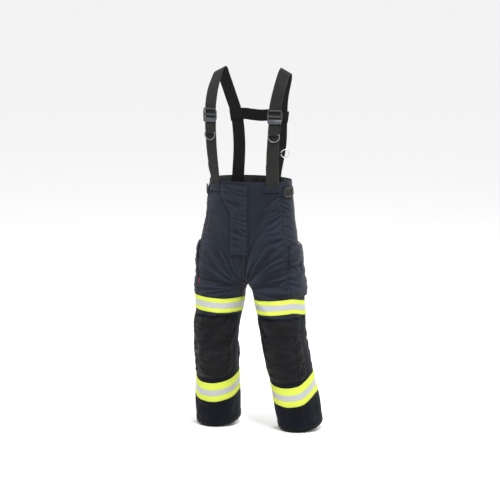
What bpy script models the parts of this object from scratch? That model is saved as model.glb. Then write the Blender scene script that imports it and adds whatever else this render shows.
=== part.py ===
"""Firefighter's bunker pants with shoulder straps, as separate cloth panels and hardware.

Lengths are in metres. +X is the wearer's left, -Y the front and +Z up. The origin is the centre
of the waist opening. Heights inside the functions are measured from the lowest point of the hems,
and one empty, which every piece hangs from, carries them down to the origin.
"""

import math

import bmesh
import bpy
from mathutils import Matrix, Vector

# ---------------------------------------------------------------- driving dimensions
HEM = 0.029                # middle of the tilted hem ring above its lowest point
INSEAM = 0.601             # hem to crotch
RISE = 0.435               # crotch to waist
CROTCH = HEM + INSEAM
WAIST = CROTCH + RISE
KNEE = 0.345               # knee hinge above the hem's middle

SHELL = 0.0035             # outer shell with its moisture barrier
LINER = 0.0020
LINER_CLEARANCE = 0.012    # trunk's liner above the hip fold
LINER_DROP = 0.008         # its top edge below the waist
GAP = 0.0004               # clearance between sewn pieces
SEAM_GAP = 0.0003          # half of the slit along a seam

WAISTBAND_HEIGHT = 0.043
FOLD_TOP = 0.150           # top of the hip fold above the crotch
FOLD_BOTTOM = 0.048        # bottom of the hip fold below the crotch

THIGH_TRIM_HEIGHT = 0.060
THIGH_SEAM_DROP = 0.125    # thigh seam below the crotch
SHIN_TRIM_HEIGHT = 0.083
SHIN_TRIM_ABOVE_HEM = 0.118
TRIM = 0.0012
REFLECTOR = 0.0008
REFLECTOR_SHARE = 0.40     # of the trim's height
KNEE_ZONE_BOTTOM = 0.214   # above the hem

PATCH = 0.0025
PATCH_HEIGHT = 0.245
PATCH_TOP_DROP = 0.012     # below the thigh seam
PATCH_COLUMNS = (2.3, 8.2)
PAD = 0.0060
PAD_HEIGHT = 0.190
PAD_COLUMNS = (3, 7)
CUFF = 0.0018
CUFF_HEIGHT = 0.016
LINER_RISE = 0.030         # shin liner above the hem

POCKET_COLUMNS = (7.3, 13.2)
POCKET_HEIGHT = 0.200
POCKET_TOP = 0.152         # above the crotch
POCKET_FRONT_DEPTH, POCKET_BACK_DEPTH = 0.005, 0.013
POCKET_FLAP_HEIGHT = 0.082
POCKET_FLAP = 0.0030
POCKET_FLAP_ABOVE = 0.010
LABEL = 0.0016             # plain red tab beside the pocket
LABEL_HEIGHT = 0.026
LABEL_ABOVE_CROTCH = 0.004
LABEL_COLUMNS = 0.25

FLY_WIDTH = 0.074
FLY_SEAM_X = 0.028         # sewn edge, on the wearer's left
FLY_LENGTH = 0.285
FLY_TOP_DROP = 0.012
FLY_FLAP = 0.0028
FLY_STANDOFF = 0.0078
FLY_TAB_LENGTH = 0.044     # waist tab past the placket's edge
FLY_TAB_HEIGHT = 0.048
FLY_TAPER = 0.070          # height over which the tab narrows to the placket
ZIP_WIDTH = 0.011
ZIP_LENGTH = 0.235
ZIP = 0.0012
ZIP_STANDOFF = 0.0022
ZIP_SLIDER_SIZE = (0.0095, 0.0022, 0.013)
ZIP_SLIDER_DROP = 0.026
UNDERLAP_WIDTH = 0.052
UNDERLAP = 0.0010
SNAP_RADIUS = 0.0050
SNAP_HEIGHT = 0.0014
SNAP_STANDOFF = 0.0010     # stud's base off the waistband
SNAP_PITCH = 0.0022        # from the stud's base to the socket's

WEBBING = 0.0018
STRAP_WIDTH = 0.050
STRAP_ANGLE = 44.0         # degrees round the waist from the front
REAR_STRAP_ANGLE = 149.0
SHOULDER_HEIGHT = 0.458    # top of the straps above the waist
STRAP_OVERLAP = 0.030      # front strap down over the waistband
DOUBLED_HEIGHT = 0.075     # doubled webbing above the waist
LOCK_HEIGHT = 0.272        # strap adjuster's middle above the waist
LOCK_WIDTH, LOCK_LENGTH, LOCK_DEPTH = 0.062, 0.058, 0.0052
LOCK_BAR = 0.0075
DEE_BELOW_LOCK = 0.072
DEE_HEIGHT = LOCK_HEIGHT - DEE_BELOW_LOCK  # dee ring's bar above the waist
DEE_WIDTH, DEE_LENGTH, DEE_WIRE = 0.052, 0.035, 0.0045
TAIL_WIDTH = 0.039
TAIL_TOP_DROP = 0.006      # loose end's tip below the adjuster
TAIL_RETURN = 0.020        # length folded back behind the dee ring
CROSS_HEIGHT = 0.250       # cross strap's middle above the waist
CROSS_WIDTH = 0.048
CROSS_BOW, CROSS_SAG = 0.010, 0.006  # its middle behind and below its ends
ACCESSORY_BELOW_DEE = 0.075
ACCESSORY_HEIGHT = DEE_HEIGHT - ACCESSORY_BELOW_DEE
ACCESSORY_RADIUS, ACCESSORY_WIRE = 0.0165, 0.0036
ACCESSORY_LOOP_WIDTH = 0.009
ACCESSORY_REACH = 0.004    # loop's length beyond the strap's edge

ADJUSTER_DROP = 0.045      # waist adjuster's middle below the waist
ADJUSTER_WIDTH, ADJUSTER_HEIGHT, ADJUSTER_DEPTH = 0.045, 0.040, 0.0048
ADJUSTER_BAR = 0.005
ADJUSTER_ANGLE = 73.5      # degrees round the waist from the front to its middle
ADJUSTER_STANDOFF = 0.0034
TAB_COLUMNS = (10.2, 13)
TAB_HEIGHT = 0.028

COLUMNS = 20               # facets round half of the body, and round each leg
SIDE_COLUMN = 7            # facet line that the trunk's side seam follows

# Sections of one half: share of the inseam or the rise, middle x, half width, half depth,
# middle y and the slope of the section's plane.
LEG_SECTIONS = (
    (-0.05, 0.184, 0.093, 0.096, 0.108, 0.30),
    (0.00, 0.182, 0.093, 0.096, 0.100, 0.30),
    (0.18, 0.174, 0.093, 0.097, 0.069, 0.30),
    (0.32, 0.165, 0.090, 0.097, 0.043, 0.28),
    (0.46, 0.158, 0.092, 0.101, 0.017, 0.22),
    (0.60, 0.151, 0.094, 0.105, -0.007, 0.10),
    (0.74, 0.141, 0.096, 0.109, -0.018, 0.02),
    (0.87, 0.130, 0.101, 0.116, -0.020, 0.00),
    (1.00, 0.114, 0.114, 0.125, -0.027, 0.00),
)
TRUNK_SECTIONS = (
    (0.16, 0.085, 0.138, 0.1300, -0.0310, 0.0),
    (0.38, 0.045, 0.166, 0.1310, -0.0300, 0.0),
    (0.60, 0.022, 0.1725, 0.1262, -0.0195, 0.0),
    (0.80, 0.008, 0.176, 0.1209, -0.0140, 0.0),
    (1.00, 0.000, 0.1755, 0.115, -0.010, 0.0),
    (1.10, 0.000, 0.1755, 0.113, -0.008, 0.0),
)

SHELL_NAVY = (0.036, 0.043, 0.060)
LINER_BLACK = (0.012, 0.012, 0.010)
TRIM_YELLOW = (0.80, 0.95, 0.10)
REFLECTOR_SILVER = (0.68, 0.69, 0.70)
PATCH_BLACK = (0.022, 0.022, 0.023)
WEBBING_BLACK = (0.030, 0.030, 0.028)
BUCKLE_GREY = (0.070, 0.080, 0.098)
BUCKLE_OLIVE = (0.080, 0.078, 0.062)
STEEL_GREY = (0.30, 0.30, 0.31)
TAB_RED = (0.45, 0.02, 0.02)


# ---------------------------------------------------------------- scene and materials
def clear_scene():
    for old in list(bpy.data.objects):
        bpy.data.objects.remove(old, do_unlink=True)


def finish(name, colour, roughness, metallic=0.0):
    material = bpy.data.materials.get(name) or bpy.data.materials.new(name)
    material.use_nodes = True
    shader = material.node_tree.nodes["Principled BSDF"]
    shader.inputs["Base Color"].default_value = (*colour, 1.0)
    shader.inputs["Roughness"].default_value = roughness
    shader.inputs["Metallic"].default_value = metallic
    return material


def add_piece(name, mesh, material, pivot=(0.0, 0.0, 0.0), smooth=True):
    """Adds a mesh as a named piece whose origin is at its pivot, hung from the waist empty."""
    bmesh.ops.recalc_face_normals(mesh, faces=mesh.faces)
    bmesh.ops.translate(mesh, verts=mesh.verts, vec=-Vector(pivot))
    data = bpy.data.meshes.new(name)
    mesh.to_mesh(data)
    mesh.free()
    if smooth:
        data.shade_smooth()
        data.set_sharp_from_angle(angle=math.radians(40))
    data.materials.append(material)
    piece = bpy.data.objects.new(name, data)
    bpy.context.scene.collection.objects.link(piece)
    piece.parent = bpy.data.objects["waist_datum"]
    piece.location = pivot
    return piece


# ---------------------------------------------------------------- the body's surface
def sections():
    legs = [(HEM + share * INSEAM, *rest) for share, *rest in LEG_SECTIONS]
    trunk = [(CROTCH + share * RISE, *rest) for share, *rest in TRUNK_SECTIONS]
    return legs + trunk


def section_at(height):
    """Middle x, half width, half depth, middle y and slope at a height, by a smooth curve."""
    rows = sections()
    last = len(rows) - 2
    i = next((n for n in range(last + 1) if height <= rows[n + 1][0]), last)
    before, low = rows[max(i - 1, 0)], rows[i]
    high, after = rows[i + 1], rows[min(i + 2, last + 1)]
    span = high[0] - low[0]
    t = (height - low[0]) / span
    found = []
    for k in range(1, 6):
        start = (high[k] - before[k]) / max(high[0] - before[0], 1e-6) * span
        end = (after[k] - low[k]) / max(after[0] - low[0], 1e-6) * span
        t2, t3 = t * t, t * t * t
        found.append(
            (2 * t3 - 3 * t2 + 1) * low[k]
            + (t3 - 2 * t2 + t) * start
            + (3 * t2 - 2 * t3) * high[k]
            + (t3 - t2) * end
        )
    return found


def overlap_angle(height):
    """Degrees that a half's section runs past the front and the back; 90 is a closed leg."""
    if height <= CROTCH:
        return 90.0
    middle, half_width = section_at(height)[:2]
    return math.degrees(math.asin(max(0.0, min(1.0, middle / half_width))))


def skin(height, degrees, offset=0.0):
    """Point of the wearer's left half, from the front (0) outwards to the back (180)."""
    middle, width, depth, middle_y, slope = section_at(height)
    sine, cosine = math.sin(math.radians(degrees)), math.cos(math.radians(degrees))
    across, along = depth * sine, -width * cosine
    length = math.hypot(across, along)
    x = middle + width * sine + offset * across / length
    y = middle_y - depth * cosine + offset * along / length
    return Vector((x + SEAM_GAP, y, height + slope * (y - middle_y)))


def lattice_rows():
    """Heights of the facet rows that every piece on the body shares, from the hem upwards."""
    knee_low, seam = HEM + KNEE_ZONE_BOTTOM, CROTCH - THIGH_SEAM_DROP
    fold_low, fold_high = CROTCH - FOLD_BOTTOM, CROTCH + FOLD_TOP
    rows = levels(HEM, knee_low, 4) + levels(knee_low, seam, 7)[1:] + [fold_low]
    rows += levels(fold_low, CROTCH, 2)[1:]
    rows += [CROTCH + FOLD_TOP * (i / 4) ** 1.6 for i in range(1, 5)]
    rows += levels(fold_high, WAIST - WAISTBAND_HEIGHT, 4)[1:]
    return rows + [WAIST]


def lattice_point(row, column, offset):
    """A point on one facet row; its columns are numbered from the front seam to the back."""
    past = overlap_angle(row)
    step = (180.0 + 2 * past) / COLUMNS
    i = max(0, min(COLUMNS - 1, math.floor(column)))
    low = skin(row, i * step - past, offset)
    return low.lerp(skin(row, (i + 1) * step - past, offset), column - i)


def surface(height, column, offset):
    """A point on the shared facets, at a height and a column that need not be on the lattice."""
    rows = lattice_rows()
    i = next((n for n in range(len(rows) - 2) if height <= rows[n + 1]), len(rows) - 2)
    low, high = (lattice_point(row, column, offset) for row in rows[i:i + 2])
    return low.lerp(high, (height - rows[i]) / (rows[i + 1] - rows[i]))


def levels(low, high, count):
    return [low + (high - low) * i / count for i in range(count + 1)]


def steps_between(low, high, lattice, least=0.15):
    """The two ends with the lattice's own lines between them."""
    inside = [value for value in lattice if low + least < value < high - least]
    return [low, *inside, high]


def slab(outer, inner, side=1):
    """One closed body between two grids of points: a sheet extruded through its thickness."""
    mesh = bmesh.new()
    rows, columns = len(outer), len(outer[0])
    verts = [[mesh.verts.new((side * p.x, p.y, p.z)) for p in row] for row in outer]
    faces = [
        mesh.faces.new((verts[r][c], verts[r][c + 1], verts[r + 1][c + 1], verts[r + 1][c]))
        for r in range(rows - 1)
        for c in range(columns - 1)
    ]
    inner_places = {
        verts[r][c].co.copy().freeze(): inner[r][c] for r in range(rows) for c in range(columns)
    }
    made = bmesh.ops.extrude_face_region(mesh, geom=faces, use_keep_orig=True)
    for v in made["geom"]:
        if isinstance(v, bmesh.types.BMVert):
            target = inner_places[v.co.copy().freeze()]
            v.co = (side * target.x, target.y, target.z)
    return mesh


def share_between(low, high, share):
    return low + (high - low) * share


def wrap(low, high, first, last, outer, inner, side=1):
    """A piece lying on the body between two heights and two columns of the facets.

    Its outer and inner faces are offsets from the body, or functions of the share done from the
    first column to the last.
    """
    columns = steps_between(first, last, range(COLUMNS + 1))
    slit = SEAM_GAP * COLUMNS / 0.6
    columns[0] += slit
    columns[-1] -= slit
    grids = ([], [])
    for height in steps_between(low, high, lattice_rows(), 0.002):
        for grid, offset in zip(grids, (outer, inner)):
            row = []
            for column in columns:
                share = (column - first) / (last - first)
                depth = offset(share) if callable(offset) else offset
                row.append(surface(height, column, depth))
            grid.append(row)
    return slab(*grids, side=side)


def tube(low, high, side, outer, inner):
    """A whole half section, open by a slit along its inner seam."""
    return wrap(low, high, 0, COLUMNS, outer, inner, side)


# ---------------------------------------------------------------- trousers
def add_seat(materials):
    shell = materials["shell"]
    low, high = CROTCH + FOLD_TOP + SEAM_GAP, WAIST - WAISTBAND_HEIGHT - SEAM_GAP
    for side, name in ((1, "left"), (-1, "right")):
        front = wrap(low, high, 0, SIDE_COLUMN, 0.0, -SHELL, side)
        add_piece(f"front_panel_{name}", front, shell)
        back = wrap(low, high, SIDE_COLUMN, COLUMNS, 0.0, -SHELL, side)
        add_piece(f"back_panel_{name}", back, shell)
        band = tube(high + 2 * SEAM_GAP, WAIST, side, 0.0, -SHELL)
        add_piece(f"waistband_{name}", band, materials["waistband"])


def add_liner(materials):
    """The quilted liner inside the trunk, in two halves."""
    outer = -(SHELL + 3 * GAP + WEBBING)
    low, high = CROTCH + FOLD_TOP + LINER_CLEARANCE, WAIST - LINER_DROP
    for side, name in ((1, "left"), (-1, "right")):
        liner = tube(low, high, side, outer, outer - LINER)
        add_piece(f"seat_liner_{name}", liner, materials["liner"])


def add_leg(side, name, materials):
    shell = materials["shell"]
    fold_low, fold_high = CROTCH - FOLD_BOTTOM, CROTCH + FOLD_TOP - SEAM_GAP
    seam = CROTCH - THIGH_SEAM_DROP
    knee_low = HEM + KNEE_ZONE_BOTTOM
    hip, knee = hip_point(side), knee_point(side)
    add_piece(f"hip_fold_{name}", tube(fold_low, fold_high, side, 0.0, -SHELL), shell)
    thigh = tube(seam, fold_low - 2 * SEAM_GAP, side, 0.0, -SHELL)
    add_piece(f"thigh_shell_{name}", thigh, shell, hip)
    bend = tube(knee_low + SEAM_GAP, seam - 2 * SEAM_GAP, side, 0.0, -SHELL)
    add_piece(f"knee_fold_{name}", bend, shell, hip)
    shin = tube(HEM, knee_low - SEAM_GAP, side, 0.0, -SHELL)
    add_piece(f"shin_shell_{name}", shin, shell, knee)
    outside = -(SHELL + GAP)
    liner = tube(HEM + LINER_RISE, knee_low - 0.010, side, outside, outside - LINER)
    add_piece(f"shin_liner_{name}", liner, materials["liner"], knee)
    cuff = tube(HEM, HEM + CUFF_HEIGHT, side, GAP + CUFF, GAP)
    add_piece(f"hem_cuff_{name}", cuff, materials["cuff"], knee)
    add_trim(f"thigh_{name}", side, seam + 0.010, THIGH_TRIM_HEIGHT, hip, materials)
    low = HEM + SHIN_TRIM_ABOVE_HEM
    add_trim(f"shin_{name}", side, low, SHIN_TRIM_HEIGHT, knee, materials)

    top = seam - PATCH_TOP_DROP
    low = top - PATCH_HEIGHT
    patch = wrap(low, top, *PATCH_COLUMNS, GAP + PATCH, GAP, side)
    add_piece(f"knee_patch_{name}", patch, materials["patch"], hip)
    edge = (PATCH_HEIGHT - PAD_HEIGHT) / 2
    pad = wrap(low + edge, top - edge, *PAD_COLUMNS, outside, outside - PAD, side)
    add_piece(f"knee_pad_{name}", pad, materials["pad"], hip)


def add_trim(label, side, low, height, pivot, materials):
    """A bright tape round a leg with a reflective stripe along its middle."""
    base = tube(low, low + height, side, GAP + TRIM, GAP)
    add_piece(f"trim_{label}", base, materials["trim"], pivot)
    edge = height * (1 - REFLECTOR_SHARE) / 2
    under = 2 * GAP + TRIM
    stripe = tube(low + edge, low + height - edge, side, under + REFLECTOR, under)
    add_piece(f"reflector_{label}", stripe, materials["reflector"], pivot)


def hip_point(side):
    return Vector((side * section_at(CROTCH)[0], -0.020, CROTCH + 0.085))


def knee_point(side):
    height = HEM + KNEE
    middle, _, _, middle_y, _ = section_at(height)
    return Vector((side * middle, middle_y - 0.010, height))


def pocket_depth(share):
    """How far the pocket stands off the leg: shallow in front, deep along its rear edge."""
    return GAP + share_between(POCKET_FRONT_DEPTH, POCKET_BACK_DEPTH, share)


def add_pocket(side, name, materials):
    """A bellows pocket on the outer back of the hip, with a flap hinged along its top."""
    top = CROTCH + POCKET_TOP
    body = wrap(top - POCKET_HEIGHT, top, *POCKET_COLUMNS, pocket_depth, 3 * GAP, side)
    add_piece(f"side_pocket_{name}", body, materials["shell"])

    def under(share):
        return pocket_depth(share) + 2 * GAP

    def over(share):
        return under(share) + POCKET_FLAP

    flap_top = top + POCKET_FLAP_ABOVE
    flap = wrap(flap_top - POCKET_FLAP_HEIGHT, flap_top, *POCKET_COLUMNS, over, under, side)
    add_piece(f"pocket_flap_{name}", flap, materials["shell"], pocket_hinge(side))


def pocket_hinge(side):
    """Outermost place of the flap's sewn edge."""
    height = CROTCH + POCKET_TOP + POCKET_FLAP_ABOVE
    first, last = POCKET_COLUMNS
    edge = [
        surface(height, share_between(first, last, i / 12), pocket_depth(i / 12))
        for i in range(13)
    ]
    return mirrored(max(edge, key=lambda point: point.x), side)


# ---------------------------------------------------------------- front closure
def front_y(height, x):
    """Depth of the front of the trunk at a place across it, on the shared facets."""
    for column in range(COLUMNS // 2):
        near, far = surface(height, column, 0.0), surface(height, column + 1, 0.0)
        if abs(x) <= far.x:
            return near.lerp(far, (abs(x) - near.x) / (far.x - near.x)).y
    raise ValueError(f"{x} is beyond the side of the body")


def front_line():
    """Foot and top of the straight line that the zip and the fly's hinge follow."""
    top = WAIST - FLY_TOP_DROP
    foot = top - ZIP_LENGTH
    return Vector((0, front_y(foot, 0.0), foot)), Vector((0, front_y(top, 0.0), top))


def front_piece(rows, near, far, straight=False):
    """A slab over the front, each row a height with its wearer's-right and -left edges."""
    foot, top = front_line()
    grids = ([], [])
    count = 6
    for height, right, left in rows:
        line = foot.lerp(top, (height - foot.z) / (top.z - foot.z))
        for grid, offset in zip(grids, (far, near)):
            xs = [share_between(right, left, i / count) for i in range(count + 1)]
            ys = [line.y if straight else front_y(height, x) for x in xs]
            grid.append([Vector((x, y - offset, height)) for x, y in zip(xs, ys)])
    return slab(*grids)


def add_front_closure(materials):
    foot, top = front_line()
    half = UNDERLAP_WIDTH / 2
    inside = -(SHELL + 3 * GAP)
    low, high = foot.z, WAIST - WAISTBAND_HEIGHT - 0.004
    rows = [(height, -half, half) for height in steps_between(low, high, lattice_rows(), 0.002)]
    add_piece("fly_underlap", front_piece(rows, inside - UNDERLAP, inside), materials["liner"])

    rows = [(h, -ZIP_WIDTH / 2, ZIP_WIDTH / 2) for h in levels(foot.z, top.z - 0.012, 3)]
    chain = front_piece(rows, ZIP_STANDOFF, ZIP_STANDOFF + ZIP, straight=True)
    add_piece("zip_chain", chain, materials["chain"])

    axis = (top - foot).normalized()
    slider = bmesh.new()
    bmesh.ops.create_cube(slider, size=1.0, matrix=Matrix.Diagonal((*ZIP_SLIDER_SIZE, 1.0)))
    bmesh.ops.bevel(slider, geom=slider.edges, offset=0.0006, segments=1, affect="EDGES")
    tilt = Vector((0, 0, 1)).rotation_difference(axis).to_matrix()
    bmesh.ops.rotate(slider, verts=slider.verts, matrix=tilt)
    forward = ZIP_STANDOFF + ZIP + GAP + ZIP_SLIDER_SIZE[1] / 2
    seat = top - axis * ZIP_SLIDER_DROP - Vector((0, forward, 0))
    bmesh.ops.translate(slider, verts=slider.verts, vec=seat)
    add_piece("zip_slider", slider, materials["steel"], seat)

    right = FLY_SEAM_X - FLY_WIDTH
    tab = right - FLY_TAB_LENGTH
    tab_low = top.z - FLY_TAB_HEIGHT
    edges = steps_between(top.z - FLY_LENGTH, tab_low - FLY_TAPER, lattice_rows(), 0.002)
    rows = [(height, right, FLY_SEAM_X) for height in edges]
    rows += [(tab_low, tab, FLY_SEAM_X), (top.z, tab, FLY_SEAM_X)]
    flap = front_piece(rows, FLY_STANDOFF, FLY_STANDOFF + FLY_FLAP)
    hinge = fly_hinge()
    add_piece("fly_flap", flap, materials["shell"], hinge)

    snap_height = top.z - FLY_TAB_HEIGHT / 2
    snap_x = right - FLY_TAB_LENGTH * 0.55
    for part, start in (("stud", SNAP_STANDOFF), ("socket", SNAP_STANDOFF + SNAP_PITCH)):
        disc = bmesh.new()
        bmesh.ops.create_cone(
            disc,
            cap_ends=True,
            segments=16,
            radius1=SNAP_RADIUS,
            radius2=SNAP_RADIUS * 0.86,
            depth=SNAP_HEIGHT,
        )
        bmesh.ops.rotate(disc, verts=disc.verts, matrix=Matrix.Rotation(math.radians(90), 3, "X"))
        turn = surface_turn(snap_height, snap_x)
        bmesh.ops.rotate(disc, verts=disc.verts, matrix=Matrix.Rotation(turn, 3, "Z"))
        y = front_y(snap_height, snap_x) - start - SNAP_HEIGHT / 2
        bmesh.ops.translate(disc, verts=disc.verts, vec=(snap_x, y, snap_height))
        pivot = hinge if part == "socket" else (0, 0, 0)
        add_piece(f"waist_snap_{part}", disc, materials["steel"], pivot)


def fly_hinge():
    """Middle of the fly flap's sewn edge."""
    foot, top = front_line()
    middle = foot.lerp(top, 0.5)
    return Vector((FLY_SEAM_X, middle.y - FLY_STANDOFF, middle.z))


def surface_turn(height, x):
    """Turn about the vertical of the front surface at a place across it."""
    reach = 0.004
    rise = front_y(height, x + reach) - front_y(height, x - reach)
    return math.atan2(rise, 2 * reach)


# ---------------------------------------------------------------- webbing and hardware
def smooth_path(points, steps):
    """Points and width directions on one smooth curve through (place, width direction)."""
    found = []
    for i in range(len(points) - 1):
        window = [points[max(0, min(len(points) - 1, i + k))] for k in (-1, 0, 1, 2)]
        for n in range(steps + (i == len(points) - 2)):
            t = n / steps
            weights = (
                -0.5 * t + t * t - 0.5 * t**3,
                1 - 2.5 * t * t + 1.5 * t**3,
                0.5 * t + 2 * t * t - 1.5 * t**3,
                -0.5 * t * t + 0.5 * t**3,
            )
            place = sum((w * Vector(p[0]) for w, p in zip(weights, window)), Vector())
            across = sum((w * Vector(p[1]) for w, p in zip(weights, window)), Vector())
            found.append((place, across.normalized()))
    return found


def ribbon(path, width, thickness, side=1):
    """Flat webbing along a path; its thickness is a number or a function of the share done."""
    mesh = bmesh.new()
    rings = []
    for i, (place, across) in enumerate(path):
        before, after = path[max(i - 1, 0)][0], path[min(i + 1, len(path) - 1)][0]
        along = (after - before).normalized()
        outward = across.cross(along).normalized()
        across = along.cross(outward)
        depth = thickness(i / (len(path) - 1)) if callable(thickness) else thickness
        corners = ((-0.5, 0.0), (0.5, 0.0), (0.5, 1.0), (-0.5, 1.0))
        ring = [place + across * width * a + outward * depth * b for a, b in corners]
        rings.append([mesh.verts.new((side * p.x, p.y, p.z)) for p in ring])
    for low, high in zip(rings, rings[1:]):
        for k in range(4):
            mesh.faces.new((low[k], low[(k + 1) % 4], high[(k + 1) % 4], high[k]))
    mesh.faces.new(rings[0])
    mesh.faces.new(rings[-1])
    return mesh


def front_strap_points():
    """Places and width directions from the waistband up to the strap adjuster."""
    sewn = Vector((0.83, 0.56, 0))
    lock_foot = WAIST + LOCK_HEIGHT - LOCK_LENGTH / 2 - 0.004
    return [
        (skin(WAIST - STRAP_OVERLAP, STRAP_ANGLE, 0.0018), sewn),
        (skin(WAIST, STRAP_ANGLE, 0.0024), sewn),
        (Vector((0.127, -0.110, WAIST + 0.060)), Vector((0.94, 0.34, 0))),
        (Vector((0.132, -0.119, WAIST + 0.130)), Vector((0.97, 0.24, 0))),
        (Vector((0.139, -0.117, lock_foot)), Vector((0.98, 0.18, 0))),
    ]


def shoulder_points():
    """Places and width directions from the adjuster over the shoulder to the back of the waist."""
    top = WAIST + SHOULDER_HEIGHT
    foot = WAIST + LOCK_HEIGHT - LOCK_LENGTH / 2 + 0.008
    return [
        (Vector((0.139, -0.1135, foot)), Vector((0.98, 0.18, 0))),
        (Vector((0.140, -0.109, WAIST + LOCK_HEIGHT + 0.040)), Vector((0.98, 0.16, 0))),
        (Vector((0.143, -0.072, WAIST + 0.375)), Vector((0.97, 0.10, -0.20))),
        (Vector((0.143, -0.022, top - 0.033)), Vector((0.90, 0.04, -0.42))),
        (Vector((0.143, 0.006, top - 0.013)), Vector((0.89, 0.0, -0.46))),
        (Vector((0.141, 0.030, top - 0.012)), Vector((0.89, -0.02, -0.46))),
        (Vector((0.136, 0.045, top - 0.040)), Vector((0.90, -0.04, -0.40))),
        (Vector((0.114, 0.066, WAIST + 0.335)), Vector((0.96, -0.12, -0.20))),
        (Vector((0.099, 0.098, WAIST + CROSS_HEIGHT)), Vector((0.98, -0.18, 0))),
        (Vector((0.092, 0.110, WAIST + 0.130)), Vector((0.97, -0.24, 0))),
        (skin(WAIST + 0.012, REAR_STRAP_ANGLE, -0.016), Vector((0.93, -0.37, 0))),
        (skin(WAIST - 0.045, REAR_STRAP_ANGLE, -0.016), Vector((0.93, -0.37, 0))),
    ]


def framed_plate(width, length, depth, bar, windows):
    """A frame lying in XZ with its face to -Y, open in the given ranges of its length."""
    mesh = bmesh.new()
    xs = [-width / 2, -width / 2 + bar, width / 2 - bar, width / 2]
    zs = [-length / 2, *(edge for window in windows for edge in window), length / 2]
    verts = {}

    def corner(i, k, j):
        key = (i, k, j)
        if key not in verts:
            verts[key] = mesh.verts.new((xs[i], (-0.5 + j) * depth, zs[k]))
        return verts[key]

    solid = {(i, k) for i in range(3) for k in range(len(zs) - 1) if i != 1 or k % 2 == 0}
    for i, k in sorted(solid):
        for j in (0, 1):
            ring = [corner(i, k, j), corner(i + 1, k, j), corner(i + 1, k + 1, j)]
            mesh.faces.new([*ring, corner(i, k + 1, j)])
        around = (
            (-1, 0, (i, k), (i, k + 1)),
            (1, 0, (i + 1, k), (i + 1, k + 1)),
            (0, -1, (i, k), (i + 1, k)),
            (0, 1, (i, k + 1), (i + 1, k + 1)),
        )
        for di, dk, first, second in around:
            if (i + di, k + dk) not in solid:
                edge = [corner(*first, 0), corner(*second, 0)]
                mesh.faces.new([*edge, corner(*second, 1), corner(*first, 1)])
    return mesh


def ring_wire(points, radius, sides=8):
    """A closed round wire through the points."""
    mesh = bmesh.new()
    count = len(points)
    normal = (points[1] - points[0]).cross(points[2] - points[1])
    for i in range(2, count):
        normal += (points[i] - points[i - 1]).cross(points[(i + 1) % count] - points[i])
    normal.normalize()
    rings = []
    for i in range(count):
        along = (points[(i + 1) % count] - points[i - 1]).normalized()
        out = along.cross(normal).normalized()
        ring = []
        for k in range(sides):
            turn = 2 * math.pi * k / sides
            ring.append(mesh.verts.new(
                points[i] + out * radius * math.cos(turn) + normal * radius * math.sin(turn)
            ))
        rings.append(ring)
    for i in range(count):
        low, high = rings[i], rings[(i + 1) % count]
        for k in range(sides):
            mesh.faces.new((low[k], low[(k + 1) % sides], high[(k + 1) % sides], high[k]))
    return mesh


def dee_outline(width, length, wire):
    """A dee in XZ: a straight bar along the top, round at the foot."""
    half = width / 2 - wire / 2
    points = [Vector((-half * 0.92, 0, 0)), Vector((half * 0.92, 0, 0))]
    reach = length - wire
    for i in range(13):
        turn = math.pi * i / 12
        drop = reach * (0.22 + 0.78 * math.sin(turn))
        points.append(Vector((half * math.cos(turn), 0, -drop)))
    return points


def strap_frame(path, height):
    """Place, width direction and direction along a path at a height."""
    for (low, across), (high, _) in zip(path, path[1:]):
        if min(low.z, high.z) <= height <= max(low.z, high.z):
            along = (high - low).normalized()
            if along.z < 0:
                along = -along
            share = (height - low.z) / (high.z - low.z)
            return low.lerp(high, share), across, along
    raise ValueError(f"no point of the path is at {height}")


def turned(mesh, place, across, along, side=1):
    """Carries a mesh drawn in XZ, face to -Y, to a place on a strap, and mirrors it."""
    depth = along.cross(across).normalized()
    matrix = Matrix((across, depth, along)).transposed()
    bmesh.ops.transform(mesh, matrix=matrix.to_4x4(), verts=mesh.verts)
    bmesh.ops.translate(mesh, verts=mesh.verts, vec=place)
    if side < 0:
        bmesh.ops.scale(mesh, vec=(-1, 1, 1), verts=mesh.verts)


def add_suspenders(materials):
    webbing = materials["webbing"]
    lower = smooth_path(front_strap_points(), 4)
    upper = smooth_path(shoulder_points(), 4)
    length = sum((b[0] - a[0]).length for a, b in zip(lower, lower[1:]))
    doubled = (STRAP_OVERLAP + DOUBLED_HEIGHT) / length

    def thick(share):
        return WEBBING * (2.0 if share < doubled else 1.0)

    lock_height = WAIST + LOCK_HEIGHT
    place, across, along = strap_frame(upper, lock_height)
    for side, name in ((1, "left"), (-1, "right")):
        add_piece(f"front_strap_{name}", ribbon(lower, STRAP_WIDTH, thick, side), webbing)
        add_piece(
            f"shoulder_strap_{name}", ribbon(upper, STRAP_WIDTH, WEBBING, side), webbing
        )
        front = along.cross(across).normalized() * -1
        gap = WEBBING + 2 * GAP
        seat = place + front * (gap + LOCK_DEPTH / 2)
        half = LOCK_LENGTH / 2
        top_bar = seat + along * (half - LOCK_BAR / 2)
        bars = ((-half + LOCK_BAR * 1.7, -LOCK_BAR), (LOCK_BAR, half - LOCK_BAR))
        lock = framed_plate(LOCK_WIDTH, LOCK_LENGTH, LOCK_DEPTH, LOCK_BAR * 0.75, bars)
        turned(lock, seat, across, along, side)
        add_piece(f"strap_lock_{name}", lock, materials["buckle"], mirrored(top_bar, side), False)
        add_tail(side, name, lower, materials)
    add_cross_strap(upper, materials)
    add_accessory(lower, materials)


def mirrored(point, side):
    return Vector((side * point.x, point.y, point.z))


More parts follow.
